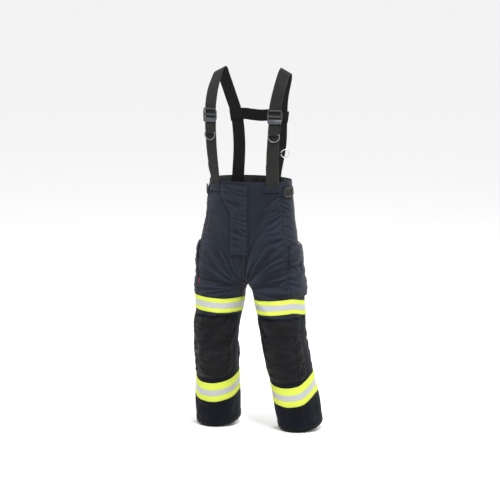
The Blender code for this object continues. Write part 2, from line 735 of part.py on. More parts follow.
def add_tail(side, name, path, materials):
    """The strap's loose end, folded round the dee ring's bar, in front of the front strap."""
    bar_height = WAIST + DEE_HEIGHT
    place, across, along = strap_frame(path, bar_height)
    front = along.cross(across).normalized() * -1
    wire = DEE_WIRE / 2
    loop = wire + 2 * GAP
    bar = place + front * (WEBBING + 3 * GAP + WEBBING + loop)
    top = strap_frame(path, WAIST + LOCK_HEIGHT - LOCK_LENGTH / 2 - TAIL_TOP_DROP)[0]
    reach = (top - place).length
    points = [
        (bar + front * loop + along * reach * share, across) for share in (1.0, 0.75, 0.5, 0.25)
    ]
    for i in range(7):
        turn = math.pi * i / 6
        offset = front * loop * math.cos(turn) - along * loop * math.sin(turn)
        points.append((bar + offset, across))
    points.append((bar - front * loop + along * TAIL_RETURN, across))
    tail = ribbon(points[::-1], TAIL_WIDTH, WEBBING, side)
    add_piece(f"strap_tail_{name}", tail, materials["webbing"], mirrored(bar, side))
    ring = ring_wire(dee_outline(DEE_WIDTH, DEE_LENGTH, DEE_WIRE), wire)
    turned(ring, bar, across, along, side)
    add_piece(f"dee_ring_{name}", ring, materials["steel"], mirrored(bar, side))


def add_cross_strap(path, materials):
    """The strap across the back that joins the two shoulder straps, lying behind them."""
    rear, height = path[len(path) // 2:], WAIST + CROSS_HEIGHT
    place, across, _ = strap_frame(rear, height)
    above, below = (strap_frame(rear, height + CROSS_WIDTH * k / 4)[0] for k in (1, -1))
    along = (above - below).normalized()
    back = along.cross(across).normalized()
    reach = STRAP_WIDTH / 2 + 0.004
    end = place + across * reach + back * (WEBBING + 2 * GAP)
    start = place - across * reach + back * (WEBBING + 2 * GAP)
    points = [(end, along), (start, along)]
    for share in (0.5, 0.0):
        bow, sag = CROSS_BOW * (1 - share), CROSS_SAG * (1 - share)
        place = Vector((start.x * share, start.y + bow, start.z - sag))
        points.append((place, Vector((0, 0, 1))))
    other = [(mirrored(p, -1), Vector((-w.x, w.y, w.z))) for p, w in points[-2::-1]]
    whole = [(p, Vector((-w.x, w.y, w.z)) if w.x else w) for p, w in (points + other)[::-1]]
    strap = ribbon(smooth_path(whole, 3), CROSS_WIDTH, WEBBING)
    add_piece("cross_strap", strap, materials["webbing"])


def add_accessory(path, materials):
    """A small ring for hanging tools, in a loop at the left front strap's outer edge."""
    place, across, along = strap_frame(path, WAIST + ACCESSORY_HEIGHT)
    front = along.cross(across).normalized() * -1
    edge = place + across * (STRAP_WIDTH / 2 + 0.0006) + front * WEBBING / 2
    wire = ACCESSORY_WIRE / 2
    loop = wire + 3 * GAP
    bar = edge + across * (loop + WEBBING + ACCESSORY_REACH)
    points = [(edge + front * loop, along)]
    for i in range(7):
        turn = math.pi * i / 6
        offset = front * loop * math.cos(turn) + across * loop * math.sin(turn)
        points.append((bar + offset, along))
    points.append((edge - front * loop, along))
    tab = ribbon(points, ACCESSORY_LOOP_WIDTH, -WEBBING)
    add_piece("accessory_loop", tab, materials["webbing"])
    outline = []
    for i in range(20):
        turn = 2 * math.pi * i / 20
        outward = across * (1 - math.cos(turn)) + along * math.sin(turn)
        outline.append(bar + outward * ACCESSORY_RADIUS)
    add_piece("accessory_ring", ring_wire(outline, wire), materials["steel"], bar)


def add_waist_adjuster(side, name, materials):
    """A ladder buckle beside the front strap and the webbing tab that runs back from it."""
    height = WAIST - ADJUSTER_DROP
    ahead, behind = skin(height, ADJUSTER_ANGLE - 4), skin(height, ADJUSTER_ANGLE + 4)
    across = (behind - ahead).normalized()
    along = Vector((0, 0, 1))
    front = along.cross(across).normalized() * -1
    seat = skin(height, ADJUSTER_ANGLE) + front * (ADJUSTER_STANDOFF + ADJUSTER_DEPTH / 2)
    half, rung = ADJUSTER_WIDTH / 2 - ADJUSTER_BAR, ADJUSTER_BAR * 0.7
    window = (2 * half - 2 * rung) / 3
    starts = [-half + n * (window + rung) for n in range(3)]
    windows = [(start, start + window) for start in starts]
    plate = framed_plate(ADJUSTER_HEIGHT, ADJUSTER_WIDTH, ADJUSTER_DEPTH, ADJUSTER_BAR, windows)
    bmesh.ops.rotate(plate, verts=plate.verts, matrix=Matrix.Rotation(math.radians(90), 3, "Y"))
    turned(plate, seat, across, along, side)
    rear_bar = mirrored(seat + across * (ADJUSTER_WIDTH - ADJUSTER_BAR) / 2, side)
    add_piece(f"waist_buckle_{name}", plate, materials["olive"], rear_bar, False)
    low, high = height - TAB_HEIGHT / 2, height + TAB_HEIGHT / 2
    tab = wrap(low, high, *TAB_COLUMNS, 2 * GAP + 2 * WEBBING, 2 * GAP, side)
    add_piece(f"waist_tab_{name}", tab, materials["webbing"])


def add_label(materials):
    """A plain red tab sewn to the front edge of the wearer's-right pocket."""
    low = CROTCH + LABEL_ABOVE_CROTCH
    last = POCKET_COLUMNS[0] - 0.03
    first = last - LABEL_COLUMNS
    tab = wrap(low, low + LABEL_HEIGHT, first, last, 2 * GAP + LABEL, 2 * GAP, -1)
    add_piece("red_tab", tab, materials["red"])


def main():
    clear_scene()
    datum = bpy.data.objects.new("waist_datum", None)
    bpy.context.scene.collection.objects.link(datum)
    datum.location = (0.0, 0.0, -WAIST)
    materials = {
        "shell": finish("shell_fabric", SHELL_NAVY, 0.85),
        "waistband": finish("waistband_fabric", SHELL_NAVY, 0.85),
        "liner": finish("liner_fabric", LINER_BLACK, 0.90),
        "trim": finish("trim_tape", TRIM_YELLOW, 0.70),
        "reflector": finish("reflective_tape", REFLECTOR_SILVER, 0.35, 0.3),
        "patch": finish("patch_leather", PATCH_BLACK, 0.45),
        "pad": finish("knee_padding", LINER_BLACK, 0.90),
        "cuff": finish("cuff_binding", PATCH_BLACK, 0.55),
        "webbing": finish("webbing", WEBBING_BLACK, 0.75),
        "buckle": finish("strap_buckle_plastic", BUCKLE_GREY, 0.40),
        "olive": finish("waist_buckle_plastic", BUCKLE_OLIVE, 0.45),
        "steel": finish("ring_steel", STEEL_GREY, 0.32, 0.9),
        "chain": finish("zip_metal", STEEL_GREY, 0.35, 0.8),
        "red": finish("red_tape", TAB_RED, 0.70),
    }
    add_seat(materials)
    add_liner(materials)
    add_front_closure(materials)
    for side, name in ((1, "left"), (-1, "right")):
        add_leg(side, name, materials)
        add_pocket(side, name, materials)
        add_waist_adjuster(side, name, materials)
    add_label(materials)
    add_suspenders(materials)


main()
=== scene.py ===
"""Looks of a firefighter's bunker pants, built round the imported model.

Lengths are in metres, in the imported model's own frame: +X is the wearer's left, -Y the front and
+Z up. Cloth follows one surface of the body, given by sections of one leg and half of the trunk.
Heights called `height` are measured from the lowest point of the hems.
"""

import logging
import math
from dataclasses import dataclass, field
from enum import Enum
from typing import Callable

import bpy
import numpy as np
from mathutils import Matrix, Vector


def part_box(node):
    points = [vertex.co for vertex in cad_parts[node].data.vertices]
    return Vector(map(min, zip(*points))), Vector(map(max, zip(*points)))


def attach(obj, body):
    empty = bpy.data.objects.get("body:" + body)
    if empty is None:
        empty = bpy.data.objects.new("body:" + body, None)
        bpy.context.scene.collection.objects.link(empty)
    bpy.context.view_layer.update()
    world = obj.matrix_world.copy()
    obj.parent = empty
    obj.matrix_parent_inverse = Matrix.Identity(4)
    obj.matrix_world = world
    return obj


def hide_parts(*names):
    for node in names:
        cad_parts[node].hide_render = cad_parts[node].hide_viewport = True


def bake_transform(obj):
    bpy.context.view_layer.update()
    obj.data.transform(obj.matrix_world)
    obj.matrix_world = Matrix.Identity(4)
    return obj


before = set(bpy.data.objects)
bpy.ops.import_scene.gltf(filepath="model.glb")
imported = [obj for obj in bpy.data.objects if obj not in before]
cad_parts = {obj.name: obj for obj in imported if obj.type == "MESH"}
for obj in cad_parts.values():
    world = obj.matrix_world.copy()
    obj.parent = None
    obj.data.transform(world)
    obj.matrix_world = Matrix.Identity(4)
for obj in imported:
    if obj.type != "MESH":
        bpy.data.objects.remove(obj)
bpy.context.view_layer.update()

Array = np.ndarray
Place = Callable[[Array, Array], Array]
log = logging.getLogger("bunker_pants")


class Side(Enum):
    """The wearer's two sides, by the sign of X."""

    LEFT = 1
    RIGHT = -1

    @property
    def label(self) -> str:
        """The side's name, as it stands in node and body names."""
        return self.name.lower()


# ------------------------------------------------------------------ arithmetic on arrays
def smoothstep(low: float, high: float, value: Array) -> Array:
    """Runs from 0 at low to 1 at high without corners.

    Args:
        low: where the step begins.
        high: where it ends; it may be below low.
        value: the values to step.

    Returns:
        The step's value for each entry.
    """
    share = np.clip((value - low) / (high - low), 0.0, 1.0)
    return share * share * (3.0 - 2.0 * share)


def bump(centre: float, reach: float, value: Array) -> Array:
    """A soft hill of height 1.

    Args:
        centre: where its top is.
        reach: distance from the centre at which it has faded to 0.
        value: the values to work it out for.

    Returns:
        The hill's height for each entry.
    """
    share = np.clip(np.abs(value - centre) / reach, 0.0, 1.0)
    return (1.0 - share * share) ** 2


def lattice_noise(x: Array, y: Array, z: Array, seed: int) -> Array:
    """Smooth gradient noise between about -1 and 1, the same for the same seed.

    Args:
        x: first coordinate, in noise cells.
        y: second coordinate.
        z: third coordinate.
        seed: picks one of many patterns.

    Returns:
        One value for each point.
    """
    x, y, z = np.broadcast_arrays(x, y, z)
    cell = [np.floor(c).astype(np.int64) for c in (x, y, z)]
    part = [c - f for c, f in zip((x, y, z), cell)]
    fade = [p * p * p * (p * (p * 6 - 15) + 10) for p in part]
    total = np.zeros(x.shape)
    for corner in range(8):
        bits = [(corner >> k) & 1 for k in range(3)]
        mixed = np.full(x.shape, seed * 7919 + 17, np.int64)
        for number, bit, prime in zip(cell, bits, (73856093, 19349663, 83492791)):
            mixed = (mixed ^ ((number + bit) * prime)) & 0x7FFFFFFF
            mixed = (mixed * 1103515245 + 12345) & 0x7FFFFFFF
        gradient = [((mixed >> (k * 9 + 3)) & 511) / 255.5 - 1.0 for k in range(3)]
        weight = np.ones(x.shape)
        for share, bit in zip(fade, bits):
            weight = weight * (share if bit else 1.0 - share)
        dot = sum(g * (p - bit) for g, p, bit in zip(gradient, part, bits))
        total += weight * dot
    return total * 1.4


def crease(value: Array) -> Array:
    """Turns noise into long ridges with soft crests, between about -1 and 0.5."""
    return 0.5 - 2.2 * np.sqrt(value * value + 0.004)


# ------------------------------------------------------------------ the body's surface
@dataclass(frozen=True)
class Figure:
    """The surface that the trousers' outer face follows, by sections from hem to waist.

    Each section is: share of the inseam or of the rise, middle x, half width, half depth,
    middle y, and the slope of its plane. The waist is at z 0 and the hems at the CAD's foot.
    """

    hem: float = 0.029
    inseam: float = 0.601
    rise: float = 0.435
    legs: tuple = (
        (-0.05, 0.184, 0.093, 0.096, 0.108, 0.30),
        (0.00, 0.182, 0.093, 0.096, 0.100, 0.30),
        (0.18, 0.174, 0.093, 0.097, 0.069, 0.30),
        (0.32, 0.165, 0.090, 0.097, 0.043, 0.28),
        (0.46, 0.158, 0.092, 0.101, 0.017, 0.22),
        (0.60, 0.151, 0.094, 0.105, -0.007, 0.10),
        (0.74, 0.141, 0.096, 0.109, -0.018, 0.02),
        (0.87, 0.130, 0.101, 0.116, -0.020, 0.00),
        (1.00, 0.114, 0.114, 0.125, -0.027, 0.00),
    )
    trunk: tuple = (
        (0.16, 0.085, 0.138, 0.1300, -0.0310, 0.0),
        (0.38, 0.045, 0.166, 0.1310, -0.0300, 0.0),
        (0.60, 0.022, 0.1725, 0.1262, -0.0195, 0.0),
        (0.80, 0.008, 0.176, 0.1209, -0.0140, 0.0),
        (1.00, 0.000, 0.1755, 0.115, -0.010, 0.0),
        (1.10, 0.000, 0.1755, 0.113, -0.008, 0.0),
    )

    @property
    def crotch(self) -> float:
        """Height of the crotch."""
        return self.hem + self.inseam

    @property
    def waist(self) -> float:
        """Height of the waistband's top edge."""
        return self.crotch + self.rise

    @property
    def thigh_seam(self) -> float:
        """Height of the seam under the thigh tape."""
        return self.crotch - 0.125

    def sections(self) -> Array:
        """All sections with their heights, from the hem up."""
        legs = [(self.hem + share * self.inseam, *rest) for share, *rest in self.legs]
        trunk = [(self.crotch + share * self.rise, *rest) for share, *rest in self.trunk]
        return np.array(legs + trunk)

    def at(self, height: Array) -> list[Array]:
        """The section at each height, by a smooth curve through the sections.

        Args:
            height: heights above the hems' lowest point.

        Returns:
            Middle x, half width, half depth, middle y and slope.
        """
        rows = self.sections()
        i = np.clip(np.searchsorted(rows[:, 0], height) - 1, 0, len(rows) - 2)
        before, after = np.maximum(i - 1, 0), np.minimum(i + 2, len(rows) - 1)
        span = rows[i + 1, 0] - rows[i, 0]
        t = (height - rows[i, 0]) / span
        t2, t3 = t * t, t * t * t
        found = []
        for k in range(1, 6):
            value = rows[:, k]
            start = (value[i + 1] - value[before]) / (rows[i + 1, 0] - rows[before, 0]) * span
            end = (value[after] - value[i]) / (rows[after, 0] - rows[i, 0]) * span
            found.append(
                (2 * t3 - 3 * t2 + 1) * value[i]
                + (t3 - 2 * t2 + t) * start
                + (3 * t2 - 2 * t3) * value[i + 1]
                + (t3 - t2) * end
            )
        return found

    def past(self, height: Array) -> Array:
        """Degrees that a half's section runs past the front and back; 90 is a closed leg."""
        middle, width = self.at(height)[:2]
        angle = np.degrees(np.arcsin(np.clip(middle / width, 0.0, 1.0)))
        return np.where(height <= self.crotch, 90.0, angle)

    def angle(self, height: Array, share: Array) -> Array:
        """Degrees from the front for a share of the way from a half's front seam to its back."""
        past = self.past(height)
        return share * (180.0 + 2 * past) - past

    def point(self, height: Array, degrees: Array, offset: Array | float, side: Side) -> Array:
        """Places on the surface.

        Args:
            height: heights above the hems' lowest point.
            degrees: angle from the front (0) outwards to the back (180).
            offset: distance off the surface.
            side: the wearer's side.

        Returns:
            One point a row, in the model's frame.
        """
        middle, width, depth, middle_y, slope = self.at(height)
        sine, cosine = np.sin(np.radians(degrees)), np.cos(np.radians(degrees))
        across, along = depth * sine, -width * cosine
        length = np.hypot(across, along)
        x = middle + width * sine + offset * across / length
        y = middle_y - depth * cosine + offset * along / length
        z = height + slope * (y - middle_y) - self.waist
        return np.stack([x * side.value, y, z], axis=-1)

    def front_angle(self, height: Array, x: Array) -> Array:
        """Degrees at which the front of the trunk is at a distance x from the middle."""
        middle, width = self.at(height)[:2]
        return np.degrees(np.arcsin(np.clip((np.abs(x) - middle) / width, -1.0, 1.0)))

    def side_seam(self, height: Array) -> Array:
        """Degrees of the outer side seam, which lies forward of the side."""
        upper = smoothstep(self.crotch - 0.05, self.waist, height)
        lower = smoothstep(self.crotch, self.hem, height)
        return 48.0 + 10.0 * upper - 12.0 * lower


FIGURE = Figure()


@dataclass(frozen=True)
class Relief:
    """Folds and hollows of the worn cloth, as distances off the surface.

    Attributes:
        hip: depth of the folds that run from the crotch over the hips.
        leg: depth of the folds across the legs.
        sway: depth of the broad hollows.
        pucker: depth of the gathers along the side seams.
        pinch: how far the cloth is drawn in at the top of the inner leg.
        slant: how far the folds across the legs climb from front to side.
        girth: radius that turns an angle into a distance round the leg.
    """

    hip: float = 0.0105
    leg: float = 0.0062
    sway: float = 0.0070
    pucker: float = 0.0036
    pinch: float = 0.0080
    slant: float = 0.0192
    girth: float = 0.115

    def at(self, height: Array, degrees: Array, side: Side) -> Array:
        """Distance off the surface at each place.

        Args:
            height: heights above the hems' lowest point.
            degrees: angle from the front (0) outwards to the back (180).
            side: the wearer's side, whose folds differ from the other's.

        Returns:
            One distance for each place, below 0 where the cloth is drawn in.
        """
        seed = 11 if side is Side.LEFT else 37
        f = FIGURE
        arc = np.radians(degrees) * self.girth
        waist_fade = smoothstep(f.waist - 0.012, f.waist - 0.085, height)
        hem_fade = 0.35 + 0.65 * smoothstep(f.hem, f.hem + 0.06, height)
        total = self.sway * lattice_noise(arc * 7.5, height * 5.2, 0.3, seed)
        total += self._hips(height, degrees, seed)
        total += self._legs(height, degrees, arc, seed)
        total += self._gathers(height, degrees, seed)
        flat = self._held_flat(height, degrees)
        past = f.past(height)
        share = (degrees + past) / (180.0 + 2 * past)
        sewn = smoothstep(0.0, 0.035, share) * smoothstep(1.0, 0.965, share)
        inner = smoothstep(0.14, 0.04, share) + smoothstep(0.86, 0.96, share)
        drawn = self.pinch * inner * bump(0.600, 0.065, height)
        return total * waist_fade * hem_fade * flat * sewn - drawn

    def _hips(self, height: Array, degrees: Array, seed: int) -> Array:
        """Folds that fan out from the crotch, in front and behind."""
        f = FIGURE
        middle, width = f.at(height)[:2]
        x = middle + width * np.sin(np.radians(degrees))
        rise = height - (f.crotch - 0.01)
        turn = np.arctan2(rise, np.maximum(x, 1e-4))
        reach = np.hypot(rise, x)
        back = degrees > 90.0
        fan = lattice_noise(turn * 3.4 + 2.0 * back, reach * 3.0, back * 5.0, seed + 1)
        fine = lattice_noise(turn * 7.5 + 3.0 * back, reach * 6.0, 9.0 + back, seed + 2)
        folds = crease(fan) * 0.75 + crease(fine) * 0.30
        near = smoothstep(0.02, 0.07, reach) * smoothstep(0.46, 0.12, reach)
        return self.hip * folds * near

    def _legs(self, height: Array, degrees: Array, arc: Array, seed: int) -> Array:
        """Cross folds at the thigh and knee, and long folds at the shin."""
        slant = height + self.slant * np.sin(np.radians(degrees * 1.3))
        cross = crease(lattice_noise(arc * 4.5, slant * 21.0, 4.0, seed + 3))
        fine = crease(lattice_noise(arc * 9.0, slant * 46.0, 6.0, seed + 4))
        knee = bump(0.36, 0.17, height) * (0.45 + 0.55 * smoothstep(70.0, 150.0, np.abs(degrees)))
        thigh = bump(0.605, 0.075, height) * 0.75
        ankle = bump(0.10, 0.10, height)
        long_folds = crease(lattice_noise(arc * 11.0, height * 4.0, 8.0, seed + 5))
        total = (cross * 0.8 + fine * 0.35) * (knee + thigh)
        return self.leg * (total + long_folds * ankle * 0.9)

    def _gathers(self, height: Array, degrees: Array, seed: int) -> Array:
        """Short puckers beside the side seam and at the elastic back of the waist."""
        away = (degrees - FIGURE.side_seam(height)) / 20.0
        slant = height * 44.0 + np.abs(away) * 0.9
        along = crease(lattice_noise(slant, np.sign(away) * 3.0, away * 0.6, seed + 6)) + 0.2
        seam = self.pucker * along * np.exp(-away * away) * smoothstep(0.0, 0.16, np.abs(away))
        seam = seam - self.pucker * 0.5 * np.exp(-away * away * 60.0)
        back = smoothstep(118.0, 150.0, degrees) * smoothstep(0.90, 1.0, height)
        ripple = lattice_noise(degrees * 0.21, height * 6.0, 7.0, seed + 7)
        return seam + self.pucker * 1.2 * back * ripple

    def _held_flat(self, height: Array, degrees: Array) -> Array:
        """How freely the cloth moves: less under the tapes and the fly."""
        f = FIGURE
        tape = 1.0 - 0.70 * bump(f.thigh_seam + 0.042, 0.055, height)
        shin = 1.0 - 0.62 * bump(0.195, 0.085, height)
        fly = 1.0 - 0.6 * smoothstep(0.74, 0.80, height) * smoothstep(34.0, 8.0, degrees)
        return tape * shin * fly


RELIEF = Relief()


# ------------------------------------------------------------------ making meshes
def only(obj: bpy.types.Object) -> None:
    """Selects one object and makes it active."""
    bpy.ops.object.select_all(action="DESELECT")
    obj.select_set(True)
    bpy.context.view_layer.objects.active = obj


def apply_modifiers(obj: bpy.types.Object) -> None:
    """Applies all of an object's modifiers in order."""
    only(obj)
    for modifier in list(obj.modifiers):
        bpy.ops.object.modifier_apply(modifier=modifier.name)


def set_points(obj: bpy.types.Object, points: Array) -> None:
    """Moves an object's vertices to the given places."""
    obj.data.vertices.foreach_set("co", np.ascontiguousarray(points, np.float32).ravel())
    obj.data.update()


def get_points(obj: bpy.types.Object) -> Array:
    """An object's vertices, one a row."""
    points = np.empty(len(obj.data.vertices) * 3, np.float32)
    obj.data.vertices.foreach_get("co", points)
    return points.reshape(-1, 3).astype(float)


def set_attribute(obj: bpy.types.Object, name: str, values: Array) -> None:
    """Stores one number for each vertex."""
    attribute = obj.data.attributes.new(name, "FLOAT", "POINT")
    attribute.data.foreach_set("value", np.ascontiguousarray(values, np.float32))


@dataclass
class Cloth:
    """A piece of cloth laid as a fine grid, then given its thickness.

    Attributes:
        name: the piece's name.
        columns: faces across.
        rows: faces up.
        thickness: the cloth's thickness, inwards from its face.
        round_edges: whether the rim is softened by one subdivision.
    """

    name: str
    columns: int
    rows: int
    thickness: float
    round_edges: bool = False

    def make(
        self, place: Place, attributes: dict[str, Place] | None = None, flip: bool = False
    ) -> bpy.types.Object:
        """Builds the piece.

        Args:
            place: gives the points for shares across and up.
            attributes: named numbers stored on the vertices, worked out the same way.
            flip: whether the faces have to be turned to point outwards.

        Returns:
            The new object, with a UV map in metres.
        """
        bpy.ops.object.select_all(action="DESELECT")
        bpy.ops.mesh.primitive_grid_add(
            x_subdivisions=self.columns, y_subdivisions=self.rows, size=2.0
        )
        obj = bpy.context.active_object
        obj.name = obj.data.name = self.name
        flat = get_points(obj)
        across, up = (flat[:, 0] + 1) / 2, (flat[:, 1] + 1) / 2
        points = place(across, up)
        set_points(obj, points)
        self._measure_uv(obj, across, up, points)
        for name, value in (attributes or {}).items():
            set_attribute(obj, name, value(across, up))
        if flip:
            bpy.ops.object.mode_set(mode="EDIT")
            bpy.ops.mesh.select_all(action="SELECT")
            bpy.ops.mesh.flip_normals()
            bpy.ops.object.mode_set(mode="OBJECT")
        if self.thickness:
            solid = obj.modifiers.new("thickness", "SOLIDIFY")
            solid.thickness = self.thickness
            solid.offset = -1.0
        if self.round_edges:
            soft = obj.modifiers.new("soft_edges", "SUBSURF")
            soft.levels = soft.render_levels = 1
        apply_modifiers(obj)
        bpy.ops.object.shade_smooth()
        return obj

    def _measure_uv(
        self, obj: bpy.types.Object, across: Array, up: Array, points: Array
    ) -> None:
        """Lays the UV map out in metres, by the lengths of the middle row and column.

        Args:
            obj: the piece, still a flat grid's mesh.
            across: each vertex's share across.
            up: each vertex's share up.
            points: each vertex's place.
        """
        wide = self._length(points, across, np.abs(up - 0.5) < 0.5 / self.rows)
        tall = self._length(points, up, np.abs(across - 0.5) < 0.5 / self.columns)
        loops = obj.data.loops
        index = np.empty(len(loops), np.int32)
        loops.foreach_get("vertex_index", index)
        pairs = np.stack([across[index] * wide, up[index] * tall], axis=1)
        obj.data.uv_layers[0].data.foreach_set("uv", pairs.astype(np.float32).ravel())

    @staticmethod
    def _length(points: Array, order: Array, chosen: Array) -> float:
        """Length of one line of the grid's points.

        Args:
            points: all of the grid's points.
            order: each point's share along the line.
            chosen: which points lie on it.

        Returns:
            The line's length.
        """
        keys = np.unique(np.round(order[chosen], 6))
        line = [points[chosen][np.abs(order[chosen] - k) < 1e-5].mean(axis=0) for k in keys]
        return float(np.linalg.norm(np.diff(np.array(line), axis=0), axis=1).sum())


def body_cloth(
    name: str,
    side: Side,
    low: float | Place,
    high: float | Place,
    offset: float | Place,
    grid: tuple[int, int],
    thickness: float,
    shares: tuple[float, float] | None = None,
    degrees: tuple[Place, Place] | None = None,
    seam_attribute: bool = False,
    round_edges: bool = False,
) -> bpy.types.Object:
    """Cloth that lies on the figure between two heights.

    Args:
        name: the piece's name.
        side: the wearer's side.
        low: lower edge, a height or a function of the shares across and up.
        high: upper edge, likewise.
        offset: distance off the figure and its folds, a number or such a function.
        grid: faces across and up.
        thickness: the cloth's thickness.
        shares: first and last share of the way from a half's front seam to its back.
        degrees: first and last angle, as functions, where shares isn't given.
        seam_attribute: whether the distance from the side seam is stored on the vertices.
        round_edges: whether the rim is softened.

    Returns:
        The new object.
    """

    def value(of: float | Place, across: Array, up: Array) -> Array:
        return of(across, up) if callable(of) else np.full(across.shape, float(of))

    def where(across: Array, up: Array) -> tuple[Array, Array]:
        bottom, top = value(low, across, up), value(high, across, up)
        height = bottom + (top - bottom) * up
        if shares:
            first, last = shares
            return height, FIGURE.angle(height, first + (last - first) * across)
        first, last = (edge(height, up) for edge in degrees)
        return height, first + (last - first) * across

    def place(across: Array, up: Array) -> Array:
        height, angle = where(across, up)
        lift = RELIEF.at(height, angle, side) + value(offset, across, up)
        return FIGURE.point(height, angle, lift, side)

    # The colour mask of painted light and shade: the folds' height, paler on raised folds and
    # darker in the hollows, plus their slope, paler where the cloth faces up.
    def folds(across: Array, up: Array) -> Array:
        height, angle = where(across, up)
        below, above = (RELIEF.at(height + step, angle, side) for step in (-0.004, 0.004))
        return (below + above) / 0.016 + 5.0 * (below - above) / 0.008

    def seam(across: Array, up: Array) -> Array:
        height, angle = where(across, up)
        return np.radians(angle - FIGURE.side_seam(height)) * RELIEF.girth

    attributes = {"folds": folds}
    if seam_attribute:
        attributes["seam"] = seam
    cloth = Cloth(name, *grid, thickness, round_edges)
    return cloth.make(place, attributes, flip=side is Side.RIGHT)


# ------------------------------------------------------------------ materials
Socket = bpy.types.NodeSocket
Number = float | Socket


class Nodes:
    """Short ways to add shader nodes to one tree."""

    def __init__(self, tree: bpy.types.NodeTree) -> None:
        """Keeps the tree that nodes are added to."""
        self.tree = tree

    def feed(self, socket: Socket, value: Number | tuple) -> None:
        """Links a socket to another, or sets it to a plain value."""
        if isinstance(value, bpy.types.NodeSocket):
            self.tree.links.new(value, socket)
        else:
            socket.default_value = value

    def math(self, operation: str, first: Number, second: Number = 0.0) -> Socket:
        """The result of a Math node.

        Args:
            operation: the node's operation.
            first: its first value.
            second: its second value.

        Returns:
            The node's output.
        """
        node = self.tree.nodes.new("ShaderNodeMath")
        node.operation = operation
        self.feed(node.inputs[0], first)
        self.feed(node.inputs[1], second)
        return node.outputs[0]

    def step(self, value: Number, low: float, high: float) -> Socket:
        """A smooth step, as a Map Range node.

        Args:
            value: the value to step.
            low: where the step is 0.
            high: where it is 1; it may be below low.

        Returns:
            The node's output.
        """
        node = self.tree.nodes.new("ShaderNodeMapRange")
        node.interpolation_type = "SMOOTHSTEP"
        self.feed(node.inputs["Value"], value)
        node.inputs["From Min"].default_value = low
        node.inputs["From Max"].default_value = high
        return node.outputs["Result"]

    def mix(self, share: Number, first: Number | tuple, second: Number | tuple) -> Socket:
        """A colour between two colours.

        Args:
            share: 0 for the first and 1 for the second.
            first: a colour or a number.
            second: likewise.

        Returns:
            The node's output.
        """
        node = self.tree.nodes.new("ShaderNodeMix")
        node.data_type = "RGBA"
        self.feed(node.inputs["Factor"], share)
        self.feed(node.inputs["A"], self.opaque(first))
        self.feed(node.inputs["B"], self.opaque(second))
        return node.outputs["Result"]

    @staticmethod
    def opaque(colour: Socket | tuple) -> Socket | tuple:
        """A colour with its alpha, or the socket itself."""
        return (*colour, 1.0) if isinstance(colour, tuple) and len(colour) == 3 else colour

    def noise(self, vector: Socket, scale: float, detail: float = 3.0) -> Socket:
        """The value of a Noise texture.

        Args:
            vector: the coordinates.
            scale: cells in a metre.
            detail: octaves of finer noise.

        Returns:
            The node's output.
        """
        node = self.tree.nodes.new("ShaderNodeTexNoise")
        self.feed(node.inputs["Vector"], vector)
        node.inputs["Scale"].default_value = scale
        node.inputs["Detail"].default_value = detail
        return node.outputs["Fac"]

    def cells(self, vector: Socket, scale: float) -> Socket:
        """The distance from the edges of Voronoi cells.

        Args:
            vector: the coordinates.
            scale: cells in a metre.

        Returns:
            The node's output.
        """
        node = self.tree.nodes.new("ShaderNodeTexVoronoi")
        node.feature = "DISTANCE_TO_EDGE"
        self.feed(node.inputs["Vector"], vector)
        node.inputs["Scale"].default_value = scale
        return node.outputs["Distance"]

    def attribute(self, name: str) -> Socket:
        """A number stored on the vertices."""
        node = self.tree.nodes.new("ShaderNodeAttribute")
        node.attribute_name = name
        return node.outputs["Fac"]

    def coordinates(self, kind: str) -> Socket:
        """The Object or UV coordinates."""
        return self.tree.nodes.new("ShaderNodeTexCoord").outputs[kind]

    def split(self, vector: Socket) -> tuple[Socket, Socket, Socket]:
        """A vector's three parts."""
        node = self.tree.nodes.new("ShaderNodeSeparateXYZ")
        self.feed(node.inputs[0], vector)
        return node.outputs[0], node.outputs[1], node.outputs[2]

    def group(self, tree: bpy.types.NodeTree, **values: Number) -> bpy.types.ShaderNodeGroup:
        """A node group placed in the tree.

        Args:
            tree: the group.
            **values: a value or a socket for each input, by the input's name.

        Returns:
            The new node.
        """
        node = self.tree.nodes.new("ShaderNodeGroup")
        node.node_tree = tree
        for name, value in values.items():
            self.feed(node.inputs[name.replace("_", " ").title()], value)
        return node


class GroupBuilder(Nodes):
    """A shader node group with named inputs and outputs."""

    def __init__(self, name: str, inputs: dict[str, str], outputs: dict[str, str]) -> None:
        """Makes the group and its sockets.

        Args:
            name: the group's name.
            inputs: each input's name with its kind, such as Float.
            outputs: likewise for the outputs.
        """
        super().__init__(bpy.data.node_groups.new(name, "ShaderNodeTree"))
        for label, kind in inputs.items():
            self.tree.interface.new_socket(
                name=label, in_out="INPUT", socket_type=f"NodeSocket{kind}"
            )
        for label, kind in outputs.items():
            self.tree.interface.new_socket(
                name=label, in_out="OUTPUT", socket_type=f"NodeSocket{kind}"
            )
        self.source = self.tree.nodes.new("NodeGroupInput").outputs
        self.result = self.tree.nodes.new("NodeGroupOutput").inputs


def weave_group() -> bpy.types.NodeTree:
    """Height of a plain weave, from metres on the cloth and the threads' pitch."""
    g = GroupBuilder("weave", {"Vector": "Vector", "Pitch": "Float"}, {"Height": "Float"})
    u, v, _ = g.split(g.source["Vector"])
    turns = g.math("DIVIDE", math.pi, g.source["Pitch"])
    over = g.math("SINE", g.math("MULTIPLY", u, turns))
    under = g.math("SINE", g.math("MULTIPLY", v, turns))
    product = g.math("MULTIPLY", over, under)
    height = g.math("MULTIPLY_ADD", product, 0.5)
    height.node.inputs[2].default_value = 0.5
    g.feed(g.result["Height"], height)
    return g.tree


